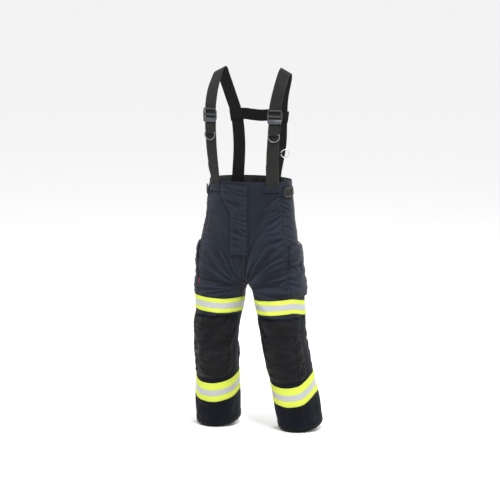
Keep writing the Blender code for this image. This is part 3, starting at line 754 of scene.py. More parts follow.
def stitch_group() -> bpy.types.NodeTree:
    """Mask of one row of stitches at a distance from a line, and the dent it pulls."""
    inputs = {"Across": "Float", "Along": "Float", "Row": "Float", "Stitch": "Float"}
    g = GroupBuilder("stitch_row", inputs, {"Thread": "Float", "Dent": "Float"})
    away = g.math("ABSOLUTE", g.math("SUBTRACT", g.source["Across"], g.source["Row"]))
    line = g.step(away, 0.0009, 0.0004)
    share = g.math("FRACT", g.math("DIVIDE", g.source["Along"], g.source["Stitch"]))
    dash = g.step(g.math("ABSOLUTE", g.math("SUBTRACT", share, 0.5)), 0.44, 0.34)
    g.feed(g.result["Thread"], g.math("MULTIPLY", line, dash))
    g.feed(g.result["Dent"], g.step(away, 0.0030, 0.0))
    return g.tree


def mottle_group() -> bpy.types.NodeTree:
    """Slow and fine unevenness of a dyed or worn surface, between 0 and 1."""
    inputs = {"Vector": "Vector", "Slow": "Float", "Fine": "Float"}
    g = GroupBuilder("mottle", inputs, {"Value": "Float"})
    slow = g.noise(g.source["Vector"], 5.0, 4.0)
    g.feed(slow.node.inputs["Scale"], g.source["Slow"])
    fine = g.noise(g.source["Vector"], 60.0, 3.0)
    g.feed(fine.node.inputs["Scale"], g.source["Fine"])
    half = g.math("MULTIPLY", fine, 0.35)
    total = g.math("MULTIPLY_ADD", slow, 0.65)
    g.feed(total.node.inputs[2], half)
    g.feed(g.result["Value"], g.step(total, 0.32, 0.68))
    return g.tree


class Finish:
    """Base of the finishes: one material with a Principled shader."""

    groups: dict[str, bpy.types.NodeTree] = {}

    @classmethod
    def shared(cls, name: str) -> bpy.types.NodeTree:
        """A shared effect, built the first time it is asked for."""
        makers = {"weave": weave_group, "stitch": stitch_group, "mottle": mottle_group}
        if name not in cls.groups:
            cls.groups[name] = makers[name]()
        return cls.groups[name]

    @staticmethod
    def start(name: str) -> tuple[bpy.types.Material, Nodes, bpy.types.ShaderNodeBsdfPrincipled]:
        """A new material, its nodes and its shader."""
        material = bpy.data.materials.new(name)
        material.use_nodes = True
        return material, Nodes(material.node_tree), material.node_tree.nodes["Principled BSDF"]

    @staticmethod
    def dent(
        nodes: Nodes, shader: bpy.types.ShaderNode, height: Number, distance: float
    ) -> None:
        """Bumps the shader's normal.

        Args:
            nodes: the material's nodes.
            shader: the shader whose normal it is.
            height: the height, mostly from 0 to 1.
            distance: metres for a height of 1.
        """
        node = nodes.tree.nodes.new("ShaderNodeBump")
        node.inputs["Distance"].default_value = distance
        nodes.feed(node.inputs["Height"], height)
        nodes.feed(shader.inputs["Normal"], node.outputs["Normal"])


@dataclass(frozen=True)
class ShellCloth(Finish):
    """Aramid outer shell: a tight weave, paler on raised folds as wear and painted light, paler on
    slopes that face up as painted light, and darker in the hollows as painted shade.

    Attributes:
        name: the material's name.
        dark: colour in the hollows, a painted shade.
        pale: colour on raised folds and on slopes that face up, partly wear and partly painted
            light.
        roughness: of the cloth.
        rows: heights on the UV map, in metres, of rows of stitches along the piece.
        seams: distances from the side seam of its rows of stitches.
        pitch: of the weave.
        gloss: the shader's specular level.
        sheen: the shader's sheen weight.
    """

    name: str = "shell_cloth"
    dark: tuple = (0.0020, 0.0034, 0.0078)
    pale: tuple = (0.0122, 0.0170, 0.0290)
    roughness: float = 0.78
    rows: tuple = ()
    seams: tuple = ()
    pitch: float = 0.0011
    gloss: float = 0.19
    sheen: float = 0.10

    def build(self) -> bpy.types.Material:
        """Makes the material."""
        material, n, shader = self.start(self.name)
        place, flat = n.coordinates("Object"), n.coordinates("UV")
        mottle = n.group(self.shared("mottle"), vector=place, slow=9.0, fine=140.0)
        # The folds attribute paints light and shade into the colour: paler on raised folds and on
        # slopes that face up, darker in the hollows.
        folds = n.step(n.attribute("folds"), -0.9, 1.1)
        share = n.math("MULTIPLY_ADD", mottle.outputs[0], 0.25)
        n.feed(share.node.inputs[2], n.math("MULTIPLY", folds, 0.75))
        weave = n.group(self.shared("weave"), vector=flat, pitch=self.pitch).outputs[0]
        colour = n.mix(share, self.dark, self.pale)
        height = n.math("MULTIPLY", weave, 0.16)
        u, v, _ = n.split(flat)
        tallies = [(v, u, row) for row in self.rows]
        if self.seams:
            seam = n.attribute("seam")
            tallies += [(seam, v, row) for row in self.seams]
        for across, along, row in tallies:
            stitch = n.group(
                self.shared("stitch"), across=across, along=along, row=row, stitch=0.0032
            )
            colour = n.mix(stitch.outputs["Thread"], colour, (0.014, 0.018, 0.027))
            dent = n.math("MULTIPLY", stitch.outputs["Dent"], 0.55)
            height = n.math("SUBTRACT", height, dent)
            height = n.math("ADD", height, n.math("MULTIPLY", stitch.outputs["Thread"], 0.5))
        n.feed(shader.inputs["Base Color"], colour)
        rough = n.math("MULTIPLY_ADD", mottle.outputs[0], 0.10)
        rough.node.inputs[2].default_value = self.roughness
        n.feed(shader.inputs["Roughness"], rough)
        shader.inputs["Sheen Weight"].default_value = self.sheen
        shader.inputs["Sheen Roughness"].default_value = 0.45
        shader.inputs["Specular IOR Level"].default_value = self.gloss
        self.dent(n, shader, height, 0.0009)
        return material


@dataclass(frozen=True)
class TapeCloth(Finish):
    """Fluorescent tape with a silver reflective stripe between two rows of stitches.

    Attributes:
        name: the material's name.
        height: the tape's height on its UV map.
        stripe: the silver stripe's share of it.
        yellow: colour of the fluorescent cloth.
        silver: colour of the reflective stripe.
    """

    name: str
    height: float
    stripe: float = 0.38
    yellow: tuple = (0.58, 0.66, 0.060)
    silver: tuple = (0.40, 0.41, 0.425)

    def build(self) -> bpy.types.Material:
        """Makes the material."""
        material, n, shader = self.start(self.name)
        place, flat = n.coordinates("Object"), n.coordinates("UV")
        u, v, _ = n.split(flat)
        half = self.height * self.stripe / 2
        away = n.math("ABSOLUTE", n.math("SUBTRACT", v, self.height / 2))
        silver = n.step(away, half + 0.0003, half - 0.0003)
        mottle = n.group(self.shared("mottle"), vector=place, slow=16.0, fine=190.0).outputs[0]
        worn = n.mix(n.math("MULTIPLY", mottle, 0.35), self.silver, (0.31, 0.32, 0.33))
        bright = n.mix(n.math("MULTIPLY", mottle, 0.30), self.yellow, (0.50, 0.60, 0.05))
        colour = n.mix(silver, bright, worn)
        weave = n.group(self.shared("weave"), vector=flat, pitch=0.0009).outputs[0]
        beads = n.noise(flat, 2600.0, 1.0)
        height = n.mix(silver, weave, beads)
        height = n.math("MULTIPLY", height, 0.35)
        edge = self.height / 2
        for row in (edge - 0.0028, half + 0.0018, -half - 0.0018, -edge + 0.0028):
            stitch = n.group(
                self.shared("stitch"), across=v, along=u, row=edge + row, stitch=0.0034
            )
            thread = n.math("MULTIPLY", stitch.outputs["Thread"], 0.8)
            colour = n.mix(thread, colour, (0.34, 0.42, 0.05))
            height = n.math("SUBTRACT", height, n.math("MULTIPLY", stitch.outputs["Dent"], 0.6))
        n.feed(shader.inputs["Base Color"], colour)
        rough = n.math("MULTIPLY_ADD", silver, -0.32)
        rough.node.inputs[2].default_value = 0.66
        n.feed(shader.inputs["Roughness"], rough)
        shader.inputs["Specular IOR Level"].default_value = 0.45
        self.dent(n, shader, height, 0.0008)
        return material


@dataclass(frozen=True)
class CoatedPatch(Finish):
    """Black coated leather with grain and fine creases, paler on its high places as scuffs and
    painted light, and on slopes that face up as painted light.
    """

    name: str = "patch_coating"
    dark: tuple = (0.0022, 0.0022, 0.0032)
    # Paler colour of the scuffs and of painted light on high places and slopes that face up.
    scuffed: tuple = (0.0110, 0.0110, 0.0132)

    def build(self) -> bpy.types.Material:
        """Makes the material."""
        material, n, shader = self.start(self.name)
        place, flat = n.coordinates("Object"), n.coordinates("UV")
        mottle = n.group(self.shared("mottle"), vector=place, slow=14.0, fine=90.0).outputs[0]
        # Painted light: the folds attribute makes the colour paler on high places and on slopes
        # that face up, along with the scuffs.
        folds = n.step(n.attribute("folds"), -0.6, 1.2)
        share = n.math("MULTIPLY", mottle, folds)
        n.feed(shader.inputs["Base Color"], n.mix(share, self.dark, self.scuffed))
        rough = n.math("MULTIPLY_ADD", mottle, 0.22)
        rough.node.inputs[2].default_value = 0.36
        n.feed(shader.inputs["Roughness"], rough)
        grain = n.step(n.cells(place, 420.0), 0.0, 0.35)
        creases = n.step(n.cells(place, 46.0), 0.0, 0.10)
        height = n.math("MULTIPLY_ADD", creases, 1.0)
        n.feed(height.node.inputs[2], n.math("MULTIPLY", grain, 0.35))
        v = n.split(flat)[1]
        for row in (0.004, 0.009):
            stitch = n.group(
                self.shared("stitch"), across=v, along=n.split(flat)[0], row=row, stitch=0.0032
            )
            height = n.math("SUBTRACT", height, stitch.outputs["Dent"])
        shader.inputs["Specular IOR Level"].default_value = 0.115
        self.dent(n, shader, height, 0.0005)
        return material


@dataclass(frozen=True)
class Webbing(Finish):
    """Ribbed nylon webbing with a plain selvedge.

    Attributes:
        name: the material's name.
        width: the webbing's width on its UV map.
        colour: of the yarn in front, set paler than behind as painted light.
        worn: of the yarn in front where it is rubbed, also set paler as painted light.
        shaded: of the yarn behind the wearer, darker as painted shade.
        gloss: the shader's specular level.
    """

    name: str
    width: float = 0.050
    colour: tuple = (0.0080, 0.0080, 0.0077)
    worn: tuple = (0.0195, 0.0195, 0.0182)
    shaded: tuple = (0.0022, 0.0022, 0.0021)
    gloss: float = 0.13

    def build(self) -> bpy.types.Material:
        """Makes the material."""
        material, n, shader = self.start(self.name)
        place, flat = n.coordinates("Object"), n.coordinates("UV")
        u, v, _ = n.split(flat)
        away = n.math("ABSOLUTE", n.math("SUBTRACT", u, self.width / 2))
        selvedge = n.step(away, self.width / 2 - 0.0032, self.width / 2 - 0.0020)
        ribs = n.math("SINE", n.math("MULTIPLY", v, math.tau / 0.0021))
        cords = n.math("SINE", n.math("MULTIPLY", u, math.tau / 0.0030))
        pattern = n.math("MULTIPLY_ADD", n.math("MULTIPLY", ribs, cords), 0.5)
        pattern.node.inputs[2].default_value = 0.5
        height = n.mix(selvedge, pattern, (0.75, 0.75, 0.75))
        mottle = n.group(self.shared("mottle"), vector=place, slow=11.0, fine=120.0).outputs[0]
        edge = n.math("MULTIPLY", selvedge, 0.5)
        share = n.math("MULTIPLY_ADD", mottle, 0.55)
        n.feed(share.node.inputs[2], edge)
        # Painted shade: behind the wearer the yarn takes the darker shaded colour; in front it
        # takes the paler colours, which stand for the light there.
        front = n.step(n.split(place)[1], 0.060, -0.060)
        front_worn_and_lit = n.mix(share, self.colour, self.worn)
        n.feed(shader.inputs["Base Color"], n.mix(front, self.shaded, front_worn_and_lit))
        shader.inputs["Roughness"].default_value = 0.68
        shader.inputs["Sheen Weight"].default_value = 0.06
        shader.inputs["Specular IOR Level"].default_value = self.gloss
        self.dent(n, shader, height, 0.0007)
        return material


@dataclass(frozen=True)
class Moulded(Finish):
    """Moulded plastic with a fine spark texture, paler at random."""

    name: str
    colour: tuple
    rubbed: tuple
    roughness: float = 0.42

    def build(self) -> bpy.types.Material:
        """Makes the material."""
        material, n, shader = self.start(self.name)
        place = n.coordinates("Object")
        mottle = n.group(self.shared("mottle"), vector=place, slow=40.0, fine=500.0).outputs[0]
        n.feed(shader.inputs["Base Color"], n.mix(mottle, self.colour, self.rubbed))
        rough = n.math("MULTIPLY_ADD", mottle, 0.16)
        rough.node.inputs[2].default_value = self.roughness
        n.feed(shader.inputs["Roughness"], rough)
        self.dent(n, shader, n.noise(place, 1900.0, 2.0), 0.00012)
        return material


@dataclass(frozen=True)
class Metal(Finish):
    """Brushed or plated wire, with fine scratches and slightly uneven gloss."""

    name: str
    colour: tuple
    roughness: float = 0.30

    def build(self) -> bpy.types.Material:
        """Makes the material."""
        material, n, shader = self.start(self.name)
        place = n.coordinates("Object")
        mottle = n.group(self.shared("mottle"), vector=place, slow=55.0, fine=700.0).outputs[0]
        darker = tuple(c * 0.62 for c in self.colour)
        n.feed(shader.inputs["Base Color"], n.mix(mottle, self.colour, darker))
        shader.inputs["Metallic"].default_value = 0.92
        rough = n.math("MULTIPLY_ADD", mottle, 0.20)
        rough.node.inputs[2].default_value = self.roughness
        n.feed(shader.inputs["Roughness"], rough)
        self.dent(n, shader, n.noise(place, 900.0, 4.0), 0.00008)
        return material


@dataclass(frozen=True)
class QuiltedLining(Finish):
    """Dark quilted lining, sewn in diamonds, darker along the sewn lines as painted shade."""

    name: str = "quilted_lining"
    dark: tuple = (0.0035, 0.0035, 0.0032)
    pale: tuple = (0.0105, 0.0100, 0.0085)

    def build(self) -> bpy.types.Material:
        """Makes the material."""
        material, n, shader = self.start(self.name)
        place, flat = n.coordinates("Object"), n.coordinates("UV")
        u, v, _ = n.split(flat)
        pitch = 0.045
        waves = []
        for operation in ("ADD", "SUBTRACT"):
            turned = n.math("MULTIPLY", n.math(operation, u, v), math.pi / pitch)
            waves.append(n.math("ABSOLUTE", n.math("SINE", turned)))
        puff = n.math("POWER", n.math("MULTIPLY", waves[0], waves[1]), 0.4)
        mottle = n.group(self.shared("mottle"), vector=place, slow=12.0, fine=200.0).outputs[0]
        # Painted shade: the colour darkens along the sewn lines, where the puffs dip, and is paler
        # on the puffs.
        share = n.math("MULTIPLY", puff, mottle)
        n.feed(shader.inputs["Base Color"], n.mix(share, self.dark, self.pale))
        shader.inputs["Roughness"].default_value = 0.88
        shader.inputs["Sheen Weight"].default_value = 0.15
        self.dent(n, shader, puff, 0.0030)
        return material


def dress(obj: bpy.types.Object, material: bpy.types.Material) -> bpy.types.Object:
    """Gives a piece its only material."""
    obj.data.materials.clear()
    obj.data.materials.append(material)
    return obj


# ------------------------------------------------------------------ pieces that lie on the body
@dataclass(frozen=True)
class Bend:
    """Where cloth passes from following one body to following the next.

    Attributes:
        upper: the body that it follows before start; not used.
        lower: the body that it follows past end; not used.
        start: where the bend begins; not used.
        end: where it ends; not used.
    """

    upper: str
    lower: str
    start: tuple[float, float, float]
    end: tuple[float, float, float]

    def apply(self, obj: bpy.types.Object) -> None:
        """Bakes the piece's transform into its mesh."""
        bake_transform(obj)


def hip_bend(side: Side) -> Bend:
    """The bend of the cloth round a hip, tilted outwards as the crease of the hip is."""
    drop, tilt, crotch_z = 0.125, math.radians(20.0), FIGURE.crotch - FIGURE.waist
    start = (0.0, -0.027, crotch_z)
    end = (side.value * drop * math.sin(tilt), -0.027, crotch_z - drop * math.cos(tilt))
    return Bend("seat", f"{side.label}_thigh", start, end)


def knee_bend(side: Side) -> Bend:
    """The bend of the cloth round a knee."""
    start = (side.value * 0.145, -0.015, -0.620)
    end = (side.value * 0.160, 0.020, -0.780)
    return Bend(f"{side.label}_thigh", f"{side.label}_shin", start, end)


@dataclass
class Trousers:
    """The cloth of one side of the trousers.

    Attributes:
        side: the wearer's side.
        finishes: materials by their short names.
    """

    side: Side
    finishes: dict[str, bpy.types.Material]

    waistband: float = 0.043
    thigh_tape: float = 0.060
    shin_tape: float = 0.083
    patch: tuple[float, float] = (0.248, 0.493)
    patch_shares: tuple[float, float] = (0.080, 0.440)
    pocket: tuple[float, float] = (0.582, 0.786)
    pocket_shares: tuple[float, float] = (0.365, 0.660)
    flap: tuple[float, float] = (0.722, 0.804)

    def build(self) -> None:
        """Builds every cloth piece of the side."""
        makers = (
            self.upper_shell,
            self.lower_shell,
            self.band,
            self.seat_liner,
            self.shin_liner,
            self.tapes,
            self.hem_cuff,
            self.knee,
            self.cargo_pocket,
            self.pocket_flap,
            self.waist_tab,
        )
        for maker in makers:
            maker()
        log.info("built the %s side's cloth", self.side.label)

    def name(self, stem: str) -> str:
        """A piece's name with the side."""
        return f"{stem}_{self.side.label}"

    def upper_shell(self) -> None:
        """The outer shell from the thigh seam to the waistband, front seam round to back."""
        low, high = FIGURE.thigh_seam, FIGURE.waist - self.waistband + 0.002
        obj = body_cloth(
            self.name("upper_shell"), self.side, low, high, 0.0, (150, 150), 0.003,
            shares=(0.0, 1.0), seam_attribute=True,
        )
        dress(obj, self.finishes["upper_shell"])
        hip_bend(self.side).apply(obj)
        stems = ("front_panel", "back_panel", "hip_fold", "thigh_shell")
        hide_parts(*(self.name(stem) for stem in stems))

    def lower_shell(self) -> None:
        """The outer shell of the leg below the thigh seam."""
        low, high = FIGURE.hem, FIGURE.thigh_seam
        obj = body_cloth(
            self.name("lower_shell"), self.side, low, high, 0.0, (140, 170), 0.003,
            shares=(0.0, 1.0), seam_attribute=True,
        )
        dress(obj, self.finishes["lower_shell"])
        knee_bend(self.side).apply(obj)
        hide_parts(self.name("knee_fold"), self.name("shin_shell"))

    def band(self) -> None:
        """The waistband, sewn over the top of the shell."""
        low, high = FIGURE.waist - self.waistband, FIGURE.waist

        def offset(across: Array, up: Array) -> Array:
            ends = smoothstep(0.0, 0.10, across) * smoothstep(1.0, 0.90, across)
            wave = lattice_noise(across * 9.0, up * 0.8, self.side.value * 2.0, 5)
            rim = -0.0006 * smoothstep(0.12, 0.0, np.minimum(up, 1 - up))
            return 0.0004 + 0.0012 * wave * ends + rim

        obj = body_cloth(
            self.name("band_cloth"), self.side, low, high, offset, (120, 14), 0.0032,
            shares=(0.0, 1.0),
        )
        dress(obj, self.finishes["band"])
        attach(obj, "seat")
        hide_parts(self.name("waistband"))

    def seat_liner(self) -> None:
        """The quilted lining inside the trunk."""
        obj = body_cloth(
            self.name("seat_lining"), self.side, 0.792, FIGURE.waist - 0.006, -0.0062,
            (90, 50), 0.002, shares=(0.001, 0.999),
        )
        dress(obj, self.finishes["lining"])
        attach(obj, "seat")
        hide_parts(self.name("seat_liner"))

    def shin_liner(self) -> None:
        """The quilted lining of the shin."""
        obj = body_cloth(
            self.name("shin_lining"), self.side, 0.059, 0.233, -0.0042,
            (90, 36), 0.002, shares=(0.001, 0.999),
        )
        dress(obj, self.finishes["lining"])
        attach(obj, self.label_of("shin"))
        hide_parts(self.name("shin_liner"))

    def label_of(self, body: str) -> str:
        """A body's name with the side before it."""
        return f"{self.side.label}_{body}"

    def tapes(self) -> None:
        """The bright tapes round the thigh and the shin."""
        seam = FIGURE.thigh_seam

        def thigh_low(across: Array, up: Array) -> Array:
            ahead = np.clip(1 - (0.383 - across) / 0.22, 0.0, 1.0)
            behind = smoothstep(0.383, 0.520, across)
            return seam + 0.008 + 0.010 * ahead - 0.015 * behind

        def thigh_high(across: Array, up: Array) -> Array:
            return thigh_low(across, up) + self.thigh_tape

        obj = body_cloth(
            self.name("thigh_tape"), self.side, thigh_low, thigh_high, 0.0016, (150, 16),
            0.0012, shares=(0.0005, 0.9995),
        )
        dress(obj, self.finishes["thigh_tape"])
        hip_bend(self.side).apply(obj)
        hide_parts(self.name("trim_thigh"), self.name("reflector_thigh"))
        self.name("upper_shell")

        low = FIGURE.hem + 0.118

        def shin_low(across: Array, up: Array) -> Array:
            behind = np.clip((across - 0.355) / 0.12, 0.0, 1.0) * smoothstep(1.0, 0.70, across)
            inner = smoothstep(0.10, 0.0, across) + smoothstep(0.86, 1.0, across)
            sag = 0.005 * bump(0.25, 0.2, across)
            return low - sag + 0.020 * behind + 0.008 * inner

        def shin_high(across: Array, up: Array) -> Array:
            return shin_low(across, up) + self.shin_tape

        obj = body_cloth(
            self.name("shin_tape"), self.side, shin_low, shin_high, 0.0016, (140, 22), 0.0012,
            shares=(0.0005, 0.9995),
        )
        dress(obj, self.finishes["shin_tape"])
        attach(obj, self.label_of("shin"))
        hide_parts(self.name("trim_shin"), self.name("reflector_shin"))
        self.name("lower_shell")

    def hem_cuff(self) -> None:
        """The binding round the hem."""
        obj = body_cloth(
            self.name("hem_binding"), self.side, FIGURE.hem - 0.0005, FIGURE.hem + 0.016, 0.0018,
            (140, 6), 0.0016, shares=(0.0005, 0.9995),
        )
        dress(obj, self.finishes["binding"])
        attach(obj, self.label_of("shin"))
        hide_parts(self.name("hem_cuff"))
        self.name("lower_shell")

    def knee(self) -> None:
        """The coated patch over the knee and the pad hidden behind it."""
        base, high = self.patch

        def low(across: Array, up: Array) -> Array:
            corner = np.clip((np.abs(across * 2 - 1) - 0.66) / 0.34, 0.0, 1.0)
            return base + 0.036 * (1 - np.sqrt(1 - corner * corner * 0.98))

        def offset(across: Array, up: Array) -> Array:
            edge = np.minimum.reduce([across * 0.18, (1 - across) * 0.18, up * 0.245])
            held = smoothstep(0.0, 0.020, edge)
            folds = crease(lattice_noise(across * 3.0, up * 7.0, self.side.value, 71))
            fine = crease(lattice_noise(across * 6.0, up * 15.0, self.side.value, 73))
            return 0.0026 + held * (0.0022 + 0.0034 * folds + 0.0016 * fine)

        obj = body_cloth(
            self.name("knee_leather"), self.side, low, high, offset, (80, 100), 0.0018,
            shares=self.patch_shares,
        )
        dress(obj, self.finishes["patch"])
        knee_bend(self.side).apply(obj)
        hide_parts(self.name("knee_patch"))
        self.name("lower_shell")

        pad = body_cloth(
            self.name("padding"), self.side, 0.276, 0.466, -0.0042, (40, 40), 0.006,
            shares=(0.15, 0.35),
        )
        dress(pad, self.finishes["padding"])
        knee_bend(self.side).apply(pad)
        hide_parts(self.name("knee_pad"))

    def pocket_depth(self, across: Array) -> Array:
        """How far the pocket stands off the leg, deeper along its rear edge."""
        return 0.003 + 0.006 * across

    def cargo_pocket(self) -> None:
        """The bellows pocket on the side of the hip."""
        low, high = self.pocket

        def offset(across: Array, up: Array) -> Array:
            edge = np.minimum.reduce([across * 0.20, (1 - across) * 0.20, up * 0.20])
            wall = smoothstep(0.0, 0.009, edge)
            sag = 0.004 * bump(0.25, 0.5, up) * bump(0.6, 0.6, across)
            folds = crease(lattice_noise(across * 3.0, up * 3.5, self.side.value, 91))
            return 0.0012 + wall * (self.pocket_depth(across) - 0.0006 + sag + 0.0022 * folds)

        obj = body_cloth(
            self.name("cargo_pocket"), self.side, low, high, offset, (90, 90), 0.0022,
            shares=self.pocket_shares,
        )
        dress(obj, self.finishes["pocket"])
        hip_bend(self.side).apply(obj)
        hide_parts(self.name("side_pocket"))
        self.name("upper_shell")

    def pocket_flap(self) -> None:
        """The pocket's flap, sewn along its top edge."""
        low, high = self.flap

        def offset(across: Array, up: Array) -> Array:
            sewn = smoothstep(1.0, 0.86, up)
            corner = smoothstep(0.75, 1.0, across) * smoothstep(0.5, 0.0, up)
            folds = lattice_noise(across * 4.0, up * 1.5, self.side.value, 95)
            depth = self.pocket_depth(across) * (0.35 + 0.65 * sewn)
            return 0.0044 + depth + sewn * (0.0014 * folds + 0.0012) + 0.003 * corner

        obj = body_cloth(
            self.name("flap"), self.side, low, high, offset, (80, 36), 0.0026,
            shares=self.pocket_shares,
        )
        dress(obj, self.finishes["flap"])
        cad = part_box(self.name("pocket_flap"))
        self.label_of("pocket_flap")
        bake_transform(obj)
        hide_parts(self.name("pocket_flap"))
        self.name("cargo_pocket")

    def waist_tab(self) -> None:
        """The webbing that runs back from the waist buckle."""
        middle = FIGURE.waist - 0.045
        obj = body_cloth(
            self.name("waist_webbing"), self.side, middle - 0.014, middle + 0.014, 0.0034,
            (60, 8), 0.0020, shares=(0.480, 0.650),
        )
        dress(obj, self.finishes["narrow_webbing"])
        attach(obj, "seat")
        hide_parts(self.name("waist_tab"))
        self.name("band_cloth")


# ------------------------------------------------------------------ front closure
@dataclass
class Closure:
    """The fly flap, the zip under it and the red tab.

    Attributes:
        finishes: materials by their short names.
    """

    finishes: dict[str, bpy.types.Material]

    hinge: tuple[float, float] = (-0.1477, -0.1295)
    hinge_reach: tuple[float, float] = (0.0005, 0.0065)
    guard_half: float = 0.026
    guard_low: float = 0.820
    guard_height: float = 0.196
    zip_foot: tuple[float, float, float] = (0.0, -0.1534, -0.247)
    zip_top: tuple[float, float, float] = (0.0, -0.1263, -0.024)
    tooth: tuple[float, float, float] = (0.0042, 0.0012, 0.0014)
    tooth_count: int = 96
    tooth_apart: float = 0.0016
    tooth_back: float = 0.0028
    red_heights: tuple[float, float] = (0.634, 0.660)
    red_shares: tuple[float, float] = (0.3510, 0.3635)
    sewn_x: float = 0.028
    free_x: float = -0.046
    tab_x: float = -0.090
    low: float = 0.768
    high: float = 1.053
    tab_low: float = 1.005
    taper: float = 0.070
    lean: float = 0.010

    def build(self) -> None:
        """Builds the closure's pieces."""
        self.fly_flap()
        self.underlap()
        self.zip_chain()
        self.red_tab()
        log.info("built the closure")

    def front(self, height: Array, x: Array, offset: Array) -> Array:
        """Points off the front of the trunk.

        Args:
            height: heights above the hems' lowest point.
            x: distances across from the middle.
            offset: distances forward of the trunk.

        Returns:
            One point a row.
        """
        middle, width, depth, middle_y, _ = FIGURE.at(height)
        angle = np.radians(FIGURE.front_angle(height, x))
        y = middle_y - depth * np.cos(angle)
        return np.stack([x, y - offset, height - FIGURE.waist], axis=-1)

    def free_edge(self, height: Array) -> Array:
        """Where the flap's free edge lies at each height."""
        share = np.clip((height - self.tab_low + self.taper) / self.taper, 0.0, 1.0)
        return self.free_x + (self.tab_x - self.free_x) * share

    def fly_flap(self) -> None:
        """The flap over the zip, with a tab at the waist."""

        def height(up: Array) -> Array:
            return self.low + (self.high - self.low) * up

        def x(across: Array, up: Array) -> Array:
            free = self.free_edge(height(up))
            lean = self.lean * smoothstep(self.tab_low, self.low, height(up))
            return free + (self.sewn_x - free) * across + lean

        def place(across: Array, up: Array) -> Array:
            free = smoothstep(0.012, 0.0, seam(across, up))
            sewn = smoothstep(0.88, 1.0, across)
            foot = smoothstep(0.05, 0.0, up)
            wave = lattice_noise(across * 2.0, up * 6.0, 1.0, 51)
            ripple = crease(lattice_noise(across * 1.2, up * 14.0 + across, 2.0, 52))
            off = 0.0106 + 0.0016 * wave + 0.0026 * ripple
            off = off - 0.0016 * free - 0.0030 * sewn - 0.0016 * foot
            return self.front(height(up), x(across, up), off)

        def seam(across: Array, up: Array) -> Array:
            return (self.sewn_x - self.free_edge(height(up))) * across

        # The colour mask of painted light and shade: the ripples' height, paler on raised ripples
        # and darker in the hollows, plus their slope, paler where the flap faces up.
        def folds(across: Array, up: Array) -> Array:
            below, above = (
                crease(lattice_noise(across * 1.2, (up + step) * 14.0 + across, 2.0, 52))
                for step in (-0.012, 0.012)
            )
            return (below + above) * 0.35 + (below - above) * 1.1

        cloth = Cloth("fly_flap_cloth", 48, 140, 0.0026)
        obj = cloth.make(place, {"seam": seam, "folds": folds})
        dress(obj, self.finishes["fly"])
        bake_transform(obj)
        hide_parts("fly_flap")

    def underlap(self) -> None:
        """The guard behind the zip."""

        def place(across: Array, up: Array) -> Array:
            height = self.guard_low + self.guard_height * up
            x = self.guard_half * (2 * across - 1)
            return self.front(height, x, -0.0048 + 0.0003 * np.sin(up * 19.0))

        cloth = Cloth("zip_guard", 16, 48, 0.001)
        folds = {"folds": lambda across, up: across * 0.0, "seam": lambda across, up: across}
        obj = cloth.make(place, folds)
        dress(obj, self.finishes["lining"])
        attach(obj, "seat")
        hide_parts("fly_underlap")

    def zip_chain(self) -> None:
        """Two interleaved rows of zip teeth along the front seam."""
        foot, top = Vector(self.zip_foot), Vector(self.zip_top)
        step = (top - foot) / self.tooth_count
        rows = []
        for side in Side:
            bpy.ops.object.select_all(action="DESELECT")
            bpy.ops.mesh.primitive_cube_add(size=1.0)
            row = bpy.context.active_object
            corners = get_points(row) * np.array(self.tooth)
            start = foot + step * (0.5 if side is Side.RIGHT else 0.0)
            move = np.array([side.value * self.tooth_apart, start.y - self.tooth_back, start.z])
            set_points(row, corners + move)
            chamfer = row.modifiers.new("chamfer", "BEVEL")
            chamfer.width = 0.0003
            array = row.modifiers.new("teeth", "ARRAY")
            array.count = self.tooth_count
            array.use_relative_offset = False
            array.use_constant_offset = True
            array.constant_offset_displace = step
            apply_modifiers(row)
            rows.append(row)
        obj = join("zip_teeth", rows)
        dress(obj, self.finishes["zip"])
        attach(obj, "seat")
        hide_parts("zip_chain")

    def red_tab(self) -> None:
        """A plain red tab beside the wearer's-right pocket."""
        obj = body_cloth(
            "red_label", Side.RIGHT, *self.red_heights, 0.0026, (10, 12), 0.0014,
            shares=self.red_shares,
        )
        dress(obj, self.finishes["red"])
        hip_bend(Side.RIGHT).apply(obj)
        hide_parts("red_tab")


# ------------------------------------------------------------------ straps and hardware
def join(name: str, parts: list[bpy.types.Object]) -> bpy.types.Object:
    """Makes one object of several."""
    bpy.ops.object.select_all(action="DESELECT")
    for part in parts:
        part.select_set(True)
    bpy.context.view_layer.objects.active = parts[0]
    bpy.ops.object.join()
    obj = bpy.context.active_object
    obj.name = obj.data.name = name
    return obj


def turn_outwards(obj: bpy.types.Object) -> None:
    """Turns a closed mesh's faces outwards."""
    only(obj)
    bpy.ops.object.mode_set(mode="EDIT")
    bpy.ops.mesh.select_all(action="SELECT")
    bpy.ops.mesh.remove_doubles(threshold=0.00002)
    bpy.ops.mesh.normals_make_consistent(inside=False)
    bpy.ops.object.mode_set(mode="OBJECT")


